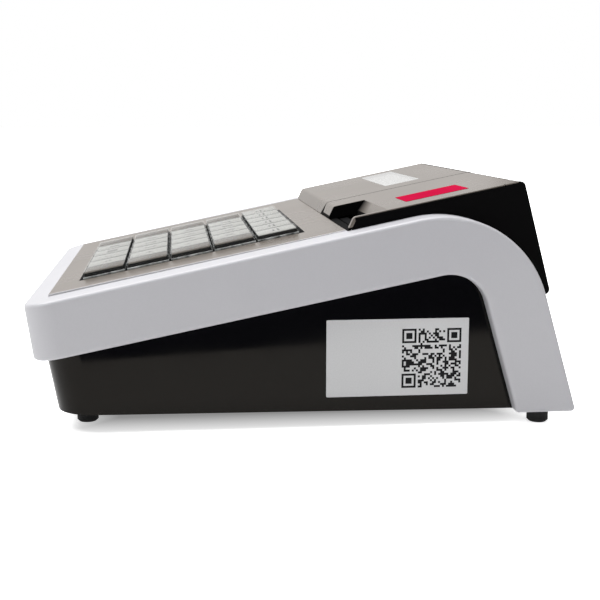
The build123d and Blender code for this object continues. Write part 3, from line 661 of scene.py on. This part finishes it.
# green board with tracks that just show
def circuitBoard(name, s):
    material, tree, shader = newMaterial(name)
    cells = tree.nodes.new("ShaderNodeTexVoronoi")
    cells.distance = "MANHATTAN"
    cells.feature = "F1"
    feed(tree, cells, {"Vector": objectPoints(tree), "Scale": s["scale"]})
    traces = maths(tree, "PINGPONG", cells.outputs["Distance"], s["pitch"])
    copper = rangeOf(tree, traces, *s["edge"], 0, 1)
    color = mixColors(tree, copper, s["board"], s["copper"])
    feed(tree, shader, {"Base Color": color, "Roughness": s["rough"]})
    bump(tree, shader, copper, 0.3, 0.00004)
    return material


materials["boardGreen"] = circuitBoard("boardGreen", boardLook)


# paper wound in turns: rings on its ends, faint bands on its round side
def woundPaper(name, s):
    material, tree, shader = newMaterial(name)
    centred = tree.nodes.new("ShaderNodeMapping")
    centred.inputs["Location"].default_value = (0, -s["axis"][0], -s["axis"][1])
    centred.inputs["Scale"].default_value = (0, 1, 1)
    tree.links.new(ownPoint(tree), centred.inputs["Vector"])
    reach = tree.nodes.new("ShaderNodeVectorMath")
    reach.operation = "LENGTH"
    tree.links.new(centred.outputs["Vector"], reach.inputs[0])
    wander = noise(tree, objectPoints(tree), 60, 2)
    radius = maths(tree, "ADD", reach.outputs["Value"], times(tree, wander, s["wander"]))
    turns = maths(tree, "PINGPONG", radius, s["turn"])
    shade = ramp(tree, turns, 0.0, s["turn"], s["dark"], s["light"])
    inner = rangeOf(tree, reach.outputs["Value"], s["hollow"], s["hollow"] + 0.0002, 0, 1)
    feed(tree, shader, {"Base Color": mixColors(tree, inner, s["core"], shade), "Roughness": 0.75})
    bump(tree, shader, turns, 0.3, 0.0001)
    return material


rollLook = {
    "axis": (0.0773, 0.0794), "turn": 0.0007, "wander": 0.0012, "hollow": 0.0061,
    "dark": (0.78, 0.78, 0.765), "light": (0.90, 0.90, 0.885), "core": (0.42, 0.31, 0.2),
}
materials["woundPaper"] = woundPaper("woundPaper", rollLook)


# the roller's one turned piece: rubber sleeve, nylon gear, steel shaft
def rollerFinish(name, s):
    material, tree, shader = newMaterial(name)
    across = ownPlaces(tree)[0]

    def between(low, high):
        beyond = maths(tree, "GREATER_THAN", across, low)
        return times(tree, beyond, maths(tree, "LESS_THAN", across, high))

    sleeve, gear = between(*s["sleeve"]), between(*s["gear"])
    grain = noise(tree, objectPoints(tree), 900, 3)
    color = mixColors(tree, sleeve, s["steel"], ramp(tree, grain, *noiseSpan, *s["rubber"]))
    covered = largest(tree, sleeve, gear)
    feed(tree, shader, {
        "Base Color": mixColors(tree, gear, color, s["nylon"]), "Metallic": opposite(tree, covered),
        "Roughness": rangeOf(tree, covered, 0, 1, *s["rough"]),
    })
    bump(tree, shader, grain, 0.3, 0.00004)
    return material


rollerLook = {
    "sleeve": (0.0406, 0.0997), "gear": (0.0352, 0.0386),
    "rubber": ((0.012, 0.012, 0.012), (0.022, 0.022, 0.022)),
    "nylon": (0.70, 0.69, 0.64), "steel": (0.56, 0.56, 0.57), "rough": (0.25, 0.6),
}
materials["rollerFinish"] = rollerFinish("rollerFinish", rollerLook)


# pale label stock with a plain block pattern at its right
def sideLabelPaper(name, s):
    material, tree, shader = newMaterial(name)
    cell = tree.nodes.new("ShaderNodeCombineXYZ")
    counted = []
    for axis, start in ((1, s["codeLeft"]), (2, s["codeLow"])):
        reach = maths(tree, "SUBTRACT", ownPlaces(tree)[axis], start)
        count = maths(tree, "FLOOR", maths(tree, "DIVIDE", reach, s["cell"]))
        tree.links.new(count, cell.inputs[axis - 1])
        counted.append(count)
    chance = tree.nodes.new("ShaderNodeTexWhiteNoise")
    chance.noise_dimensions = "3D"
    tree.links.new(cell.outputs[0], chance.inputs["Vector"])
    dark = maths(tree, "GREATER_THAN", chance.outputs["Value"], 0.5)
    last = s["cells"] - 1
    for count in counted:
        above = maths(tree, "GREATER_THAN", count, -0.5)
        dark = times(tree, dark, above, maths(tree, "LESS_THAN", count, last + 0.5))
    # three corners carry a square in a ring, with a clear line round it
    near, far = s["cornerHalf"], last - s["cornerHalf"]
    for corner in ((near, near), (near, far), (far, far)):
        reach = largest(tree, *(
            maths(tree, "ABSOLUTE", maths(tree, "SUBTRACT", count, middle))
            for count, middle in zip(counted, corner)
        ))
        square = maths(tree, "LESS_THAN", reach, near / 2)
        ring = maths(tree, "COMPARE", reach, near)
        ring.node.inputs[2].default_value = 0.5
        away = maths(tree, "GREATER_THAN", reach, near + 1.5)
        dark = maths(tree, "ADD", times(tree, dark, away), maths(tree, "ADD", square, ring))
    fibre = noise(tree, objectPoints(tree), 1500, 3)
    stock = ramp(tree, fibre, *noiseSpan, s["stockDark"], s["stockLight"])
    color = mixColors(tree, dark, stock, s["ink"])
    feed(tree, shader, {"Base Color": color, "Roughness": 0.5, "Specular IOR Level": 0.12})
    bump(tree, shader, fibre, 0.1, 0.00002)
    return material


sideLabel = {
    "side": 0.1105, "front": 0.0102, "rear": 0.0794, "low": 0.0152, "high": 0.0528,
    "thickness": 0.00012, "corner": 0.0006,
    "codeLeft": 0.0468, "codeLow": 0.0189, "cell": 0.001, "cells": 29, "cornerHalf": 3,
    "stockDark": (0.72, 0.72, 0.725), "stockLight": (0.76, 0.76, 0.765), "ink": (0.012, 0.012, 0.013),
}
materials["labelPaper"] = sideLabelPaper("labelPaper", sideLabel)
print("materials made:", len(materials))

# the frame's own solids that stay in the scene, by material
carried = {
    "whitePlastic": ["side_frame"],
    "glossBlack": ["lower_case"],
    "housingPaint": ["rear_housing"],
    "deckPaint": ["key_plate"],
    "topPaint": ["display_cover", "paper_cover"],
    "innerBlack": [
        "tear_bar", "key_guide", "printer_frame", "paper_tray", "customer_module", "display_module"
    ],
    "boardGreen": ["key_board", "main_board"],
    "brushedSteel": ["cover_hinge_pin", "feed_motor", "case_screws"],
    "headMetal": ["thermal_head"],
    "nylonWhite": ["motor_pinion"],
    "rubberBlack": ["rubber_feet"],
    "rollerFinish": ["platen_roller"],
    "woundPaper": ["paper_roll"],
    "keyBlack": ["dc_socket", "drawer_socket", "serial_socket", "usb_socket"],
    "clearPane": ["display_window", "customer_window"],
}
for materialName, names in carried.items():
    for name in names:
        nodes[name].data.materials.clear()
        nodes[name].data.materials.append(materials[materialName])
print("carried nodes dressed")

# keys: body, insert and clear cap, modelled once round the key's own middle
keyField = {"columns": 6, "rows": 5, "pitch": 0.022, "middle": 0.0114, "rear": 0.0018}
keySettings = {
    "capWidth": 0.0208, "capCorner": 0.0006, "topEdge": 0.0004, "top": 0.0046, "wall": 0.0005,
    "flange": 0.0214, "flangeLow": 0.0009, "flangeHigh": 0.0021, "rimEdge": 0.00012, "holeTop": 0.004,
    "bodyLow": -0.0015, "stem": 0.006, "stemLow": -0.0135, "gap": 0.0001, "edge": 0.00022,
    "insert": 0.0003, "insertCorner": 0.0005, "insertRise": 0.00002, "legendRise": 0.00001,
}
tiny = 1e-5  # tolerance of a test on a place


def modelCap(s):
    half, flange = s["capWidth"] / 2, s["flange"] / 2
    inner = half - s["wall"]
    cap = addCube("capShell", (-half, -half, s["flangeLow"]), (half, half, s["top"]))
    roundCorners(cap, 2, s["capCorner"])
    roundEdges(cap, lambda edge: all(v.co.z > s["top"] - tiny for v in edge.verts), s["topEdge"])
    drawUnderside(cap, s["wall"], s["top"] - s["wall"] - s["flangeLow"])
    rim = addCube("capFlange", (-flange, -flange, s["flangeLow"]), (flange, flange, s["flangeHigh"]))
    roundCorners(rim, 2, s["capCorner"])
    combine(rim, addCube("hole", (-inner, -inner, 0), (inner, inner, s["holeTop"])), "DIFFERENCE")
    addBevel(rim, s["rimEdge"], 1)
    combine(cap, rim, "UNION")
    smooth(cap, 40)
    for material in ("clearCap", "capSide", "capRimGlints"):
        cap.data.materials.append(materials[material])
    # the flange's outer sides take the rim material with its painted glints
    for face in cap.data.polygons:
        low, outer = face.center.z < s["flangeHigh"] + tiny, abs(face.center.x) > half
        onRim = low and outer and abs(face.normal.y) < 0.5
        face.material_index = 2 if onRim else 0 if face.normal.z > 0.5 else 1
    return cap


def modelKeyBody(s):
    half = s["capWidth"] / 2 - s["wall"] - s["gap"]
    top = s["top"] - s["wall"] - s["gap"] - s["insert"]
    body = addCube("keyBody", (-half, -half, s["bodyLow"]), (half, half, top))
    drawUnderside(body, half - s["stem"] / 2, s["stemLow"] - s["bodyLow"])
    addBevel(body, s["edge"], 2)
    smooth(body)
    return body


def modelInsert(s):
    half = s["capWidth"] / 2 - s["wall"] - 2 * s["gap"]
    top = s["top"] - s["wall"] - s["gap"]
    low = top - s["insert"] + s["insertRise"]
    insert = addCube("keyInsert", (-half, -half, low), (half, half, top))
    roundCorners(insert, 2, s["insertCorner"])
    return insert


def keyPlace(s, row, column):
    x = s["middle"] + (column - (s["columns"] + 1) / 2) * s["pitch"]
    along = s["rear"] + (row - s["rows"] - 0.5) * s["pitch"]
    return deckMatrix @ Matrix.Translation((x, along, 0))


legends = {
    (1, 2): "0", (1, 3): "00", (1, 4): ".",
    (2, 2): "1", (2, 3): "2", (2, 4): "3",
    (3, 2): "4", (3, 3): "5", (3, 4): "6",
    (4, 2): "7", (4, 3): "8", (4, 4): "9",
    (1, 5): "=", (2, 5): "+", (3, 5): "-", (4, 5): "x",
}
legendSettings = {
    "size": 0.0085, "thickness": 0.00003,
    "barWidth": 0.009, "shorter": 0.6, "barHeight": 0.0009, "barSpread": 0.0012, "barCorner": 0.45,
}


def modelLegend(text, s, level):
    if text:
        deselectAll()
        bpy.ops.object.text_add(location=(0, 0, 0))
        words = bpy.context.object
        words.data.body = text
        words.data.size = s["size"]
        words.data.align_x = "CENTER"
        words.data.align_y = "CENTER"
        words.data.extrude = s["thickness"] / 2
        words.data.resolution_u = 4
        words.location = (0, 0, level + s["thickness"] / 2)
        bpy.ops.object.convert(target="MESH")
        legend = named("keyLegend")
        applyPlace(legend)
        return legend
    # a key without a number has two plain bars
    bars = []
    for share, along in ((1.0, s["barSpread"]), (s["shorter"], -s["barSpread"])):
        wide, high = s["barWidth"] * share / 2, s["barHeight"] / 2
        bar = addCube("bar", (-wide, along - high, level), (wide, along + high, level + s["thickness"]))
        roundCorners(bar, 2, s["barHeight"] * s["barCorner"])
        bars.append(bar)
    return join("keyLegend", bars)


# the black rim round the keys' opening, wider ahead of the first row and behind the last: painted shade
# of the gap between the keys and the plate
openingShadeRim = {
    "sides": 0.0004, "ahead": 0.0016, "behind": 0.0022, "low": 0.0009, "high": 0.00123, "cut": 0.002,
}


def addOpeningShadeRim(s, field):
    half, rear = field["columns"] * field["pitch"] / 2, field["rear"]
    left, right = field["middle"] - half, field["middle"] + half
    front = rear - field["rows"] * field["pitch"]
    low = (left - s["sides"], front - s["ahead"], s["low"])
    edge = addCube("openingShadeRim", low, (right + s["sides"], rear + s["behind"], s["high"]))
    combine(edge, addCube("hole", (left, front, 0), (right, rear, s["cut"])), "DIFFERENCE")
    move(edge, deckMatrix)
    dress(edge, "innerBlack", "base", "dark_plastic")


# each key gets its own copy of the models; the function keys' labels are taupe
def makeKeys(s, field):
    cap, body, insert = modelCap(s), modelKeyBody(s), modelInsert(s)
    level = s["top"] - s["wall"] - s["gap"] + s["legendRise"]
    models = {}
    for row in range(1, field["rows"] + 1):
        for column in range(1, field["columns"] + 1):
            text = legends.get((row, column), "")
            if text not in models:
                models[text] = modelLegend(text, legendSettings, level)
            end = f"_r{row}_c{column}"
            taupe = column in (1, 6) and row < 5
            for name, model, material, *replaced in (
                ("keyBody", body, "keyBlack", "key" + end),
                ("keyInsert", insert, "insertTaupe" if taupe else "insertWhite", "key" + end),
                ("keyCap", cap, None, "key" + end),
                ("keyLegend", models[text], "legendInk"),
            ):
                piece = copyOf(model, name + end)
                move(piece, keyPlace(field, row, column))
                dress(piece, material, f"key_{row}_{column}", "key_plastic", *replaced)
    for model in [cap, body, insert, *models.values()]:
        bpy.data.objects.remove(model, do_unlink=True)


addOpeningShadeRim(openingShadeRim, keyField)
makeKeys(keySettings, keyField)
print("keys made")

# displays: pale glass with seven-bar figures, the unlit bars just showing
digitSettings = {
    "count": 8, "pitch": 0.0092, "width": 0.0052, "height": 0.0108, "bar": 0.0010, "lean": 0.12,
    "shown": "     000", "pointAfter": 5, "rightInset": 0.0050, "rise": 0.00001,
    "glass": (0.0832, 0.0204), "glassThickness": 0.00005, "glassCorner": 0.0004,
    "barThickness": 0.00002, "barGap": 0.62, "barCorner": 0.9,  # shares of a bar and of half of it
}
# bars are a top, b and c right, d bottom, e and f left, g middle
litBars = {"0": "abcdef", " ": ""}


def barEnds(s):
    w, h = s["width"] / 2, s["height"] / 2
    return {
        "a": ((-w, h), (w, h)), "b": ((w, 0), (w, h)), "c": ((w, -h), (w, 0)),
        "d": ((-w, -h), (w, -h)), "e": ((-w, -h), (-w, 0)), "f": ((-w, 0), (-w, h)),
        "g": ((-w, 0), (w, 0)),
    }


def modelBar(start, end, s):
    thick, short = s["bar"] / 2, -s["bar"] * s["barGap"]
    wide, long = (thick, short) if start[0] == end[0] else (short, thick)
    low = (start[0] - wide, start[1] - long, 0)
    bar = addCube("bar", low, (end[0] + wide, end[1] + long, s["barThickness"]))
    roundCorners(bar, 2, thick * s["barCorner"], 1)
    return bar


def modelFigures(s, lit):
    bars = []
    for place in range(s["count"]):
        shown = litBars[s["shown"][place]]
        middle = (place - s["count"] + 0.5) * s["pitch"]
        for name, (start, end) in barEnds(s).items():
            if (name in shown) == lit:
                bar = modelBar(start, end, s)
                move(bar, Matrix.Translation((middle, 0, 0)))
                bars.append(bar)
        if (place == s["pointAfter"]) == lit:
            side = s["bar"] / 2
            x, y = middle + s["pitch"] / 2 - side, -s["height"] / 2 - side
            high = (x + 2 * side, y + 2 * side, s["barThickness"])
            bars.append(addCube("point", (x, y, 0), high))
    figures = join("figures", bars)
    slant = Matrix.Identity(4)
    slant[0][1] = s["lean"]
    figures.data.transform(slant)
    return figures


def addDisplay(name, place, s):
    half = [size / 2 for size in s["glass"]]
    low, high = (-half[0], -half[1], 0), (*half, s["glassThickness"])
    glass = thinPlate(name + "Glass", low, high, s["glassCorner"], 2)
    move(glass, place)
    dress(glass, "lcdGlass", "base", "window_pane")
    right = half[0] - s["rightInset"]
    level = Matrix.Translation((right, 0, s["glassThickness"] + s["rise"]))
    for part, lit in (("Figures", True), ("Ghosts", False)):
        figures = modelFigures(s, lit)
        figures.name = figures.data.name = name + part
        move(figures, place @ level)
        dress(figures, "lcdInk" if lit else "lcdGhost", "base", "window_pane")


operatorDisplay = {"x": -0.0491, "along": 0.0739, "above": 0.00500}
customerDisplay = {"x": -0.0491, "down": 0.0245, "inward": 0.00229}
backTop = (0.1102, topLevel)  # the housing's rear top corner, along and above the deck
backFoot = (0.1218, 0.0623)  # its lowest rear corner, from the middle and above the floor


def frontPlace(s):
    return deckMatrix @ Matrix.Translation((s["x"], s["along"], s["above"]))


def backPlace(s):
    top = onDeck(0, *backTop)
    foot = Vector((0, *backFoot))
    down = (foot - top).normalized()
    inward = Vector((0, down.z, -down.y))
    spot = top + down * s["down"] + inward * s["inward"] + Vector((s["x"], 0, 0))
    turn = Matrix((Vector((-1, 0, 0)), -down, -inward)).transposed().to_4x4()
    return Matrix.Translation(spot) @ turn


addDisplay("operatorDisplay", frontPlace(operatorDisplay), digitSettings)
addDisplay("customerDisplay", backPlace(customerDisplay), digitSettings)
print("displays made")

# sockets: sprung contacts, a steel shell, a bright pin
socketSettings = {
    "rear": 0.1046,
    "drawer": {"x": -0.0534, "z": 0.0242, "wires": 6, "pitch": 0.00127, "roof": 0.0032, "length": 0.0105},
    "serial": {"x": -0.0260, "z": 0.0244, "wires": 8, "pitch": 0.00110, "roof": 0.0033, "length": 0.0120},
    "wire": {"radius": 0.00022, "inset": 0.0015, "droop": 0.35},
    "usb": {
        "x": 0.0, "z": 0.0230, "width": 0.0084, "height": 0.0077, "depth": 0.0086, "wall": 0.00035,
        "corner": 0.0007, "sunk": 0.0001,
    },
    "pads": {
        "tongue": 0.0032, "deep": 0.0012, "width": 0.0009, "length": 0.0055, "spread": 0.0014,
        "rise": 0.00003, "half": 0.00005,
    },
    "dc": {"x": -0.0825, "z": 0.0231, "pin": 0.00104, "start": 0.0940, "end": 0.1028, "edge": 0.0003},
}


def addContacts(name, s, wire, rear):
    rods = []
    for count in range(s["wires"]):
        x = s["x"] + (count - (s["wires"] - 1) / 2) * s["pitch"]
        high = Vector((x, rear - wire["inset"], s["z"] + s["roof"]))
        low = Vector((x, rear - s["length"], s["z"] - s["roof"] * wire["droop"]))
        rods.append(addRod("wire", high, low, wire["radius"], 10))
    contacts = join(name, rods)
    smooth(contacts, 50)
    dress(contacts, "contactGold", "base", "steel")


def addUsbShell(s, rear):
    half, tall = s["width"] / 2, s["height"] / 2
    low = (s["x"] - half, rear - s["depth"], s["z"] - tall)
    shell = addCube("usbShell", low, (s["x"] + half, rear - s["sunk"], s["z"] + tall))
    roundCorners(shell, 1, s["corner"])
    hollowThrough(shell, 1, s["wall"])
    smooth(shell, 40)
    dress(shell, "brushedSteel", "base", "steel")


# two contact pads above the tongue and two below it
def addUsbPads(s, x, z, rear):
    pads = []
    wide, end = s["width"] / 2, rear - s["deep"]
    for side in (-1, 1):
        for turn in (-1, 1):
            middle = x + turn * s["spread"]
            level = z + side * (s["tongue"] / 2 + s["rise"])
            low = (middle - wide, end - s["length"], level - s["half"])
            pads.append(addCube("pad", low, (middle + wide, end, level + s["half"])))
    contacts = join("usbContacts", pads)
    dress(contacts, "contactGold", "base", "steel")


def addSocketParts(s):
    for name in ("drawer", "serial"):
        addContacts(name + "Contacts", s[name], s["wire"], s["rear"])
    addUsbShell(s["usb"], s["rear"])
    addUsbPads(s["pads"], s["usb"]["x"], s["usb"]["z"], s["rear"])
    d = s["dc"]
    pin = addRod("dcPin", (d["x"], d["start"], d["z"]), (d["x"], d["end"], d["z"]), d["pin"], 24)
    addBevel(pin, d["edge"], 3)
    smooth(pin)
    dress(pin, "brushedSteel", "base", "steel")


addSocketParts(socketSettings)
print("sockets fitted")

# screws: pan heads with a cross recess, down in the case's bores
screwSettings = {
    "x": 0.1043, "rows": (-0.092, -0.031, 0.030), "seat": 0.0212, "drop": 0.004,
    "head": 0.0022, "headHeight": 0.0016, "shank": 0.0012, "reach": 0.010,
    "headEdge": 0.00064, "sunk": 0.0002,
    "crossLong": 0.0028, "crossWide": 0.00055, "crossDeep": 0.0009, "crossPast": 0.001,
}


def modelScrew(s):
    head = addRod("screwHead", (0, 0, -s["headHeight"]), (0, 0, 0), s["head"], 32)
    low = tiny - s["headHeight"]
    roundEdges(head, lambda edge: all(v.co.z < low for v in edge.verts), s["headEdge"], 4)
    long, wide = s["crossLong"] / 2, s["crossWide"] / 2
    floor, deep = -s["headHeight"] - s["crossPast"], s["crossDeep"] - s["headHeight"]
    for x, y in ((long, wide), (wide, long)):
        combine(head, addCube("cross", (-x, -y, floor), (x, y, deep)), "DIFFERENCE")
    shank = addRod("shank", (0, 0, -s["sunk"]), (0, 0, s["reach"]), s["shank"], 20)
    screw = join("screw", [head, shank])
    smooth(screw, 40)
    return screw


def addScrews(s):
    model = modelScrew(s)
    for row, y in enumerate(s["rows"], start=1):
        seat = deckHeight + y * tan(deckAngle) - s["seat"] / cos(deckAngle) - s["drop"]
        for side, letter in ((-1, "L"), (1, "R")):
            screw = copyOf(model, f"screw{letter}{row}")
            move(screw, Matrix.Translation((side * s["x"], y, seat)))
            dress(screw, "brushedSteel", "base", "steel", "case_screws")
    bpy.data.objects.remove(model, do_unlink=True)


addScrews(screwSettings)
print("screws made")

# under the lid: stiffening ribs, the print line on the head, the roll's core
bayDetails = {
    "ribLow": 0.0032, "ribHigh": 0.00515, "ribWidth": 0.0011, "ribFront": 0.0520, "ribRear": 0.0985,
    "ribEdge": 0.0002, "crossLow": 0.0035,
    "ribPlaces": (0.0225, 0.0330, 0.0520, 0.0705, 0.0890), "crossPlaces": (0.0520, 0.0750, 0.0974),
    "lineFront": 0.0378, "lineRear": 0.0392, "lineLeft": 0.0425, "lineRight": 0.0985,
    "lineLow": -0.01391, "lineHigh": -0.01378, "lineCorner": 0.0003,
    "coreRadius": 0.0059, "coreHollow": 0.0049, "coreLeft": 0.0420, "coreRight": 0.0988,
    "coreAxis": (0.07731, 0.07937),
}


def addLidRibs(s):
    ribs = []
    half = s["ribWidth"] / 2
    for x in s["ribPlaces"]:
        low = (x - half, s["ribFront"], s["ribLow"])
        ribs.append(addCube("rib", low, (x + half, s["ribRear"], s["ribHigh"])))
    for along in s["crossPlaces"]:
        low = (s["ribPlaces"][0], along - half, s["crossLow"])
        ribs.append(addCube("rib", low, (s["ribPlaces"][-1], along + half, s["ribHigh"])))
    for rib in ribs:
        addBevel(rib, s["ribEdge"], 2)
    lattice = join("lidRibs", ribs)
    move(lattice, deckMatrix)
    smooth(lattice)
    dress(lattice, "housingBlack", "lid", "dark_plastic")


def addPrintLine(s):
    low = (s["lineLeft"], s["lineFront"], s["lineLow"])
    high = (s["lineRight"], s["lineRear"], s["lineHigh"])
    line = thinPlate("printLine", low, high, s["lineCorner"], 2)
    move(line, deckMatrix)
    dress(line, "headGlaze", "base", "steel")


def addRollCore(s):
    y, z = s["coreAxis"]
    core = addRod("rollCore", (s["coreLeft"], y, z), (s["coreRight"], y, z), s["coreRadius"], 48)
    hollowThrough(core, 0, s["coreRadius"] - s["coreHollow"])
    smooth(core, 40)
    dress(core, "cardboard", "roll", "receipt_paper")


addLidRibs(bayDetails)
addPrintLine(bayDetails)
addRollCore(bayDetails)
print("bay details made")

# labels: thin plates stuck on, the strip left bare
redStrip = {
    "left": 0.0608, "right": 0.088, "front": 0.055, "rear": 0.087, "thickness": 0.00012, "corner": 0.0008,
}


def addRedStrip(s):
    low = (s["left"], s["front"], topLevel)
    high = (s["right"], s["rear"], topLevel + s["thickness"])
    strip = thinPlate("lidStrip", low, high, s["corner"], 2)
    move(strip, deckMatrix)
    dress(strip, "redVinyl", "lid", "white_plastic")


def addSideLabel(s):
    low = (s["side"], s["front"], s["low"])
    high = (s["side"] + s["thickness"], s["rear"], s["high"])
    label = thinPlate("sideLabel", low, high, s["corner"], 0)
    dress(label, "labelPaper", "base", "receipt_paper")


addRedStrip(redStrip)
addSideLabel(sideLabel)
print("labels made")

# studio: floor with a painted shadow round the footprint, dark card that only gloss sees, lamps, world
studio = {
    "floor": 30.0, "floorColor": (0.60, 0.60, 0.60), "floorGlow": 0.29, "seenFloor": (0.92, 0.92, 0.92),
    # shade: the glow of the floor's painted shadow, from, to, darkest, lightest
    "footprint": (0.110, 0.118), "shade": (-0.028, 0.008, 0.27, 0.97),  # from, to, darkest, lightest
    "ambient": (0.97, 0.98, 1.0), "worldStrength": 0.14,
    "card": (1.0, 3.0), "cardStart": 0.294, "cardLevel": 0.0004, "cardTurn": -14,
    "cardColor": (0.012, 0.014, 0.03),
    "glowX": -1.3, "glowFront": -2.2, "glowRear": 0.47, "glowHigh": 1.3, "glow": 0.80,
    "sun": 4.2, "sunSpread": 66, "sunAim": (0.07, 0.25, -1),  # down, to the right and to the rear
}


def addPlane(name, middle, width, depth, turn=(0, 0, 0)):
    deselectAll()
    bpy.ops.mesh.primitive_plane_add(size=1, location=middle, rotation=turn)
    plane = named(name)
    plane.scale = (width, depth, 1)
    applyPlace(plane)
    return plane


def flatMaterial(name, color, rough, glow=0.0):
    material, tree, shader = newMaterial(name)
    fibre = noise(tree, objectPoints(tree), 4, 2)
    tint = tuple(part * 0.99 for part in color)
    feed(tree, shader, {
        "Base Color": ramp(tree, fibre, *noiseSpan, tint, color), "Roughness": rough,
        "Specular IOR Level": 0.0, "Emission Color": (1, 1, 1), "Emission Strength": glow,
    })
    return material


# the paper looks brighter to the camera than the light it throws back, and a soft shadow round the
# footprint is painted into its glow
def brightenSeenPaintShadow(material, s):
    tree = material.node_tree
    shader = tree.nodes["Principled BSDF"]
    plain = shader.inputs["Base Color"].links[0].from_socket
    seen = tree.nodes.new("ShaderNodeLightPath").outputs["Is Camera Ray"]
    beyond = largest(tree, *(
        maths(tree, "SUBTRACT", maths(tree, "ABSOLUTE", place), half)
        for place, half in zip(ownPlaces(tree), s["footprint"])
    ))
    # painted shadow: the glow fades from darkest under the object to lightest past its footprint
    shade = rangeOf(tree, beyond, *s["shade"])
    shadowGlow = times(tree, seen, maths(tree, "SUBTRACT", shade, s["floorGlow"]))
    feed(tree, shader, {
        "Base Color": mixColors(tree, seen, plain, s["seenFloor"]),
        "Emission Strength": maths(tree, "ADD", shadowGlow, s["floorGlow"]),
    })


def addSun(s):
    deselectAll()
    bpy.ops.object.light_add(type="SUN", location=(0, 0, 1.5))
    lamp = bpy.context.object
    lamp.name = "softSun"
    lamp.data.energy = s["sun"]
    lamp.data.angle = radians(s["sunSpread"])
    lamp.rotation_euler = Vector(s["sunAim"]).to_track_quat("-Z", "Y").to_euler()


# camera rays meet plain white, everything else a dim sky
def addWorld(s):
    world = bpy.data.worlds.new("studioWorld")
    bpy.context.scene.world = world
    world.use_nodes = True
    tree = world.node_tree
    ambient = tree.nodes["Background"]
    backdrop = tree.nodes.new("ShaderNodeBackground")
    feed(tree, ambient, {"Color": s["ambient"], "Strength": s["worldStrength"]})
    feed(tree, backdrop, {"Color": (1, 1, 1), "Strength": 1.0})
    rays = tree.nodes.new("ShaderNodeLightPath").outputs["Is Camera Ray"]
    blend = tree.nodes.new("ShaderNodeMixShader")
    feed(tree, blend, {0: rays, 1: ambient.outputs[0], 2: backdrop.outputs[0]})
    tree.links.new(blend.outputs[0], tree.nodes["World Output"].inputs["Surface"])


def buildStudio(s):
    floor = addPlane("studioFloor", (0, 0, 0), s["floor"], s["floor"])
    paper = flatMaterial("studioPaper", s["floorColor"], 0.9, s["floorGlow"])
    floor.data.materials.append(paper)
    brightenSeenPaintShadow(paper, s)
    turn, (wide, long) = radians(s["cardTurn"]), s["card"]
    middle = (s["cardStart"] + wide / 2 * cos(turn), wide / 2 * sin(turn), s["cardLevel"])
    card = addPlane("studioCard", middle, wide, long, (0, 0, turn))
    card.data.materials.append(flatMaterial("studioDark", s["cardColor"], 0.9))
    depth = s["glowRear"] - s["glowFront"]
    middle = (s["glowX"], (s["glowRear"] + s["glowFront"]) / 2, s["glowHigh"] / 2)
    glow = addPlane("studioGlow", middle, s["glowHigh"], depth, (0, pi / 2, 0))
    glow.data.materials.append(flatMaterial("studioPale", (0, 0, 0), 0.9, s["glow"]))
    for plane in (card, glow):
        plane.visible_camera = False
        plane.visible_diffuse = False
        plane.visible_shadow = False
        plane.visible_transmission = False
    addSun(s)
    addWorld(s)
    bpy.context.scene.view_settings.view_transform = "Standard"


buildStudio(studio)
print("studio built")
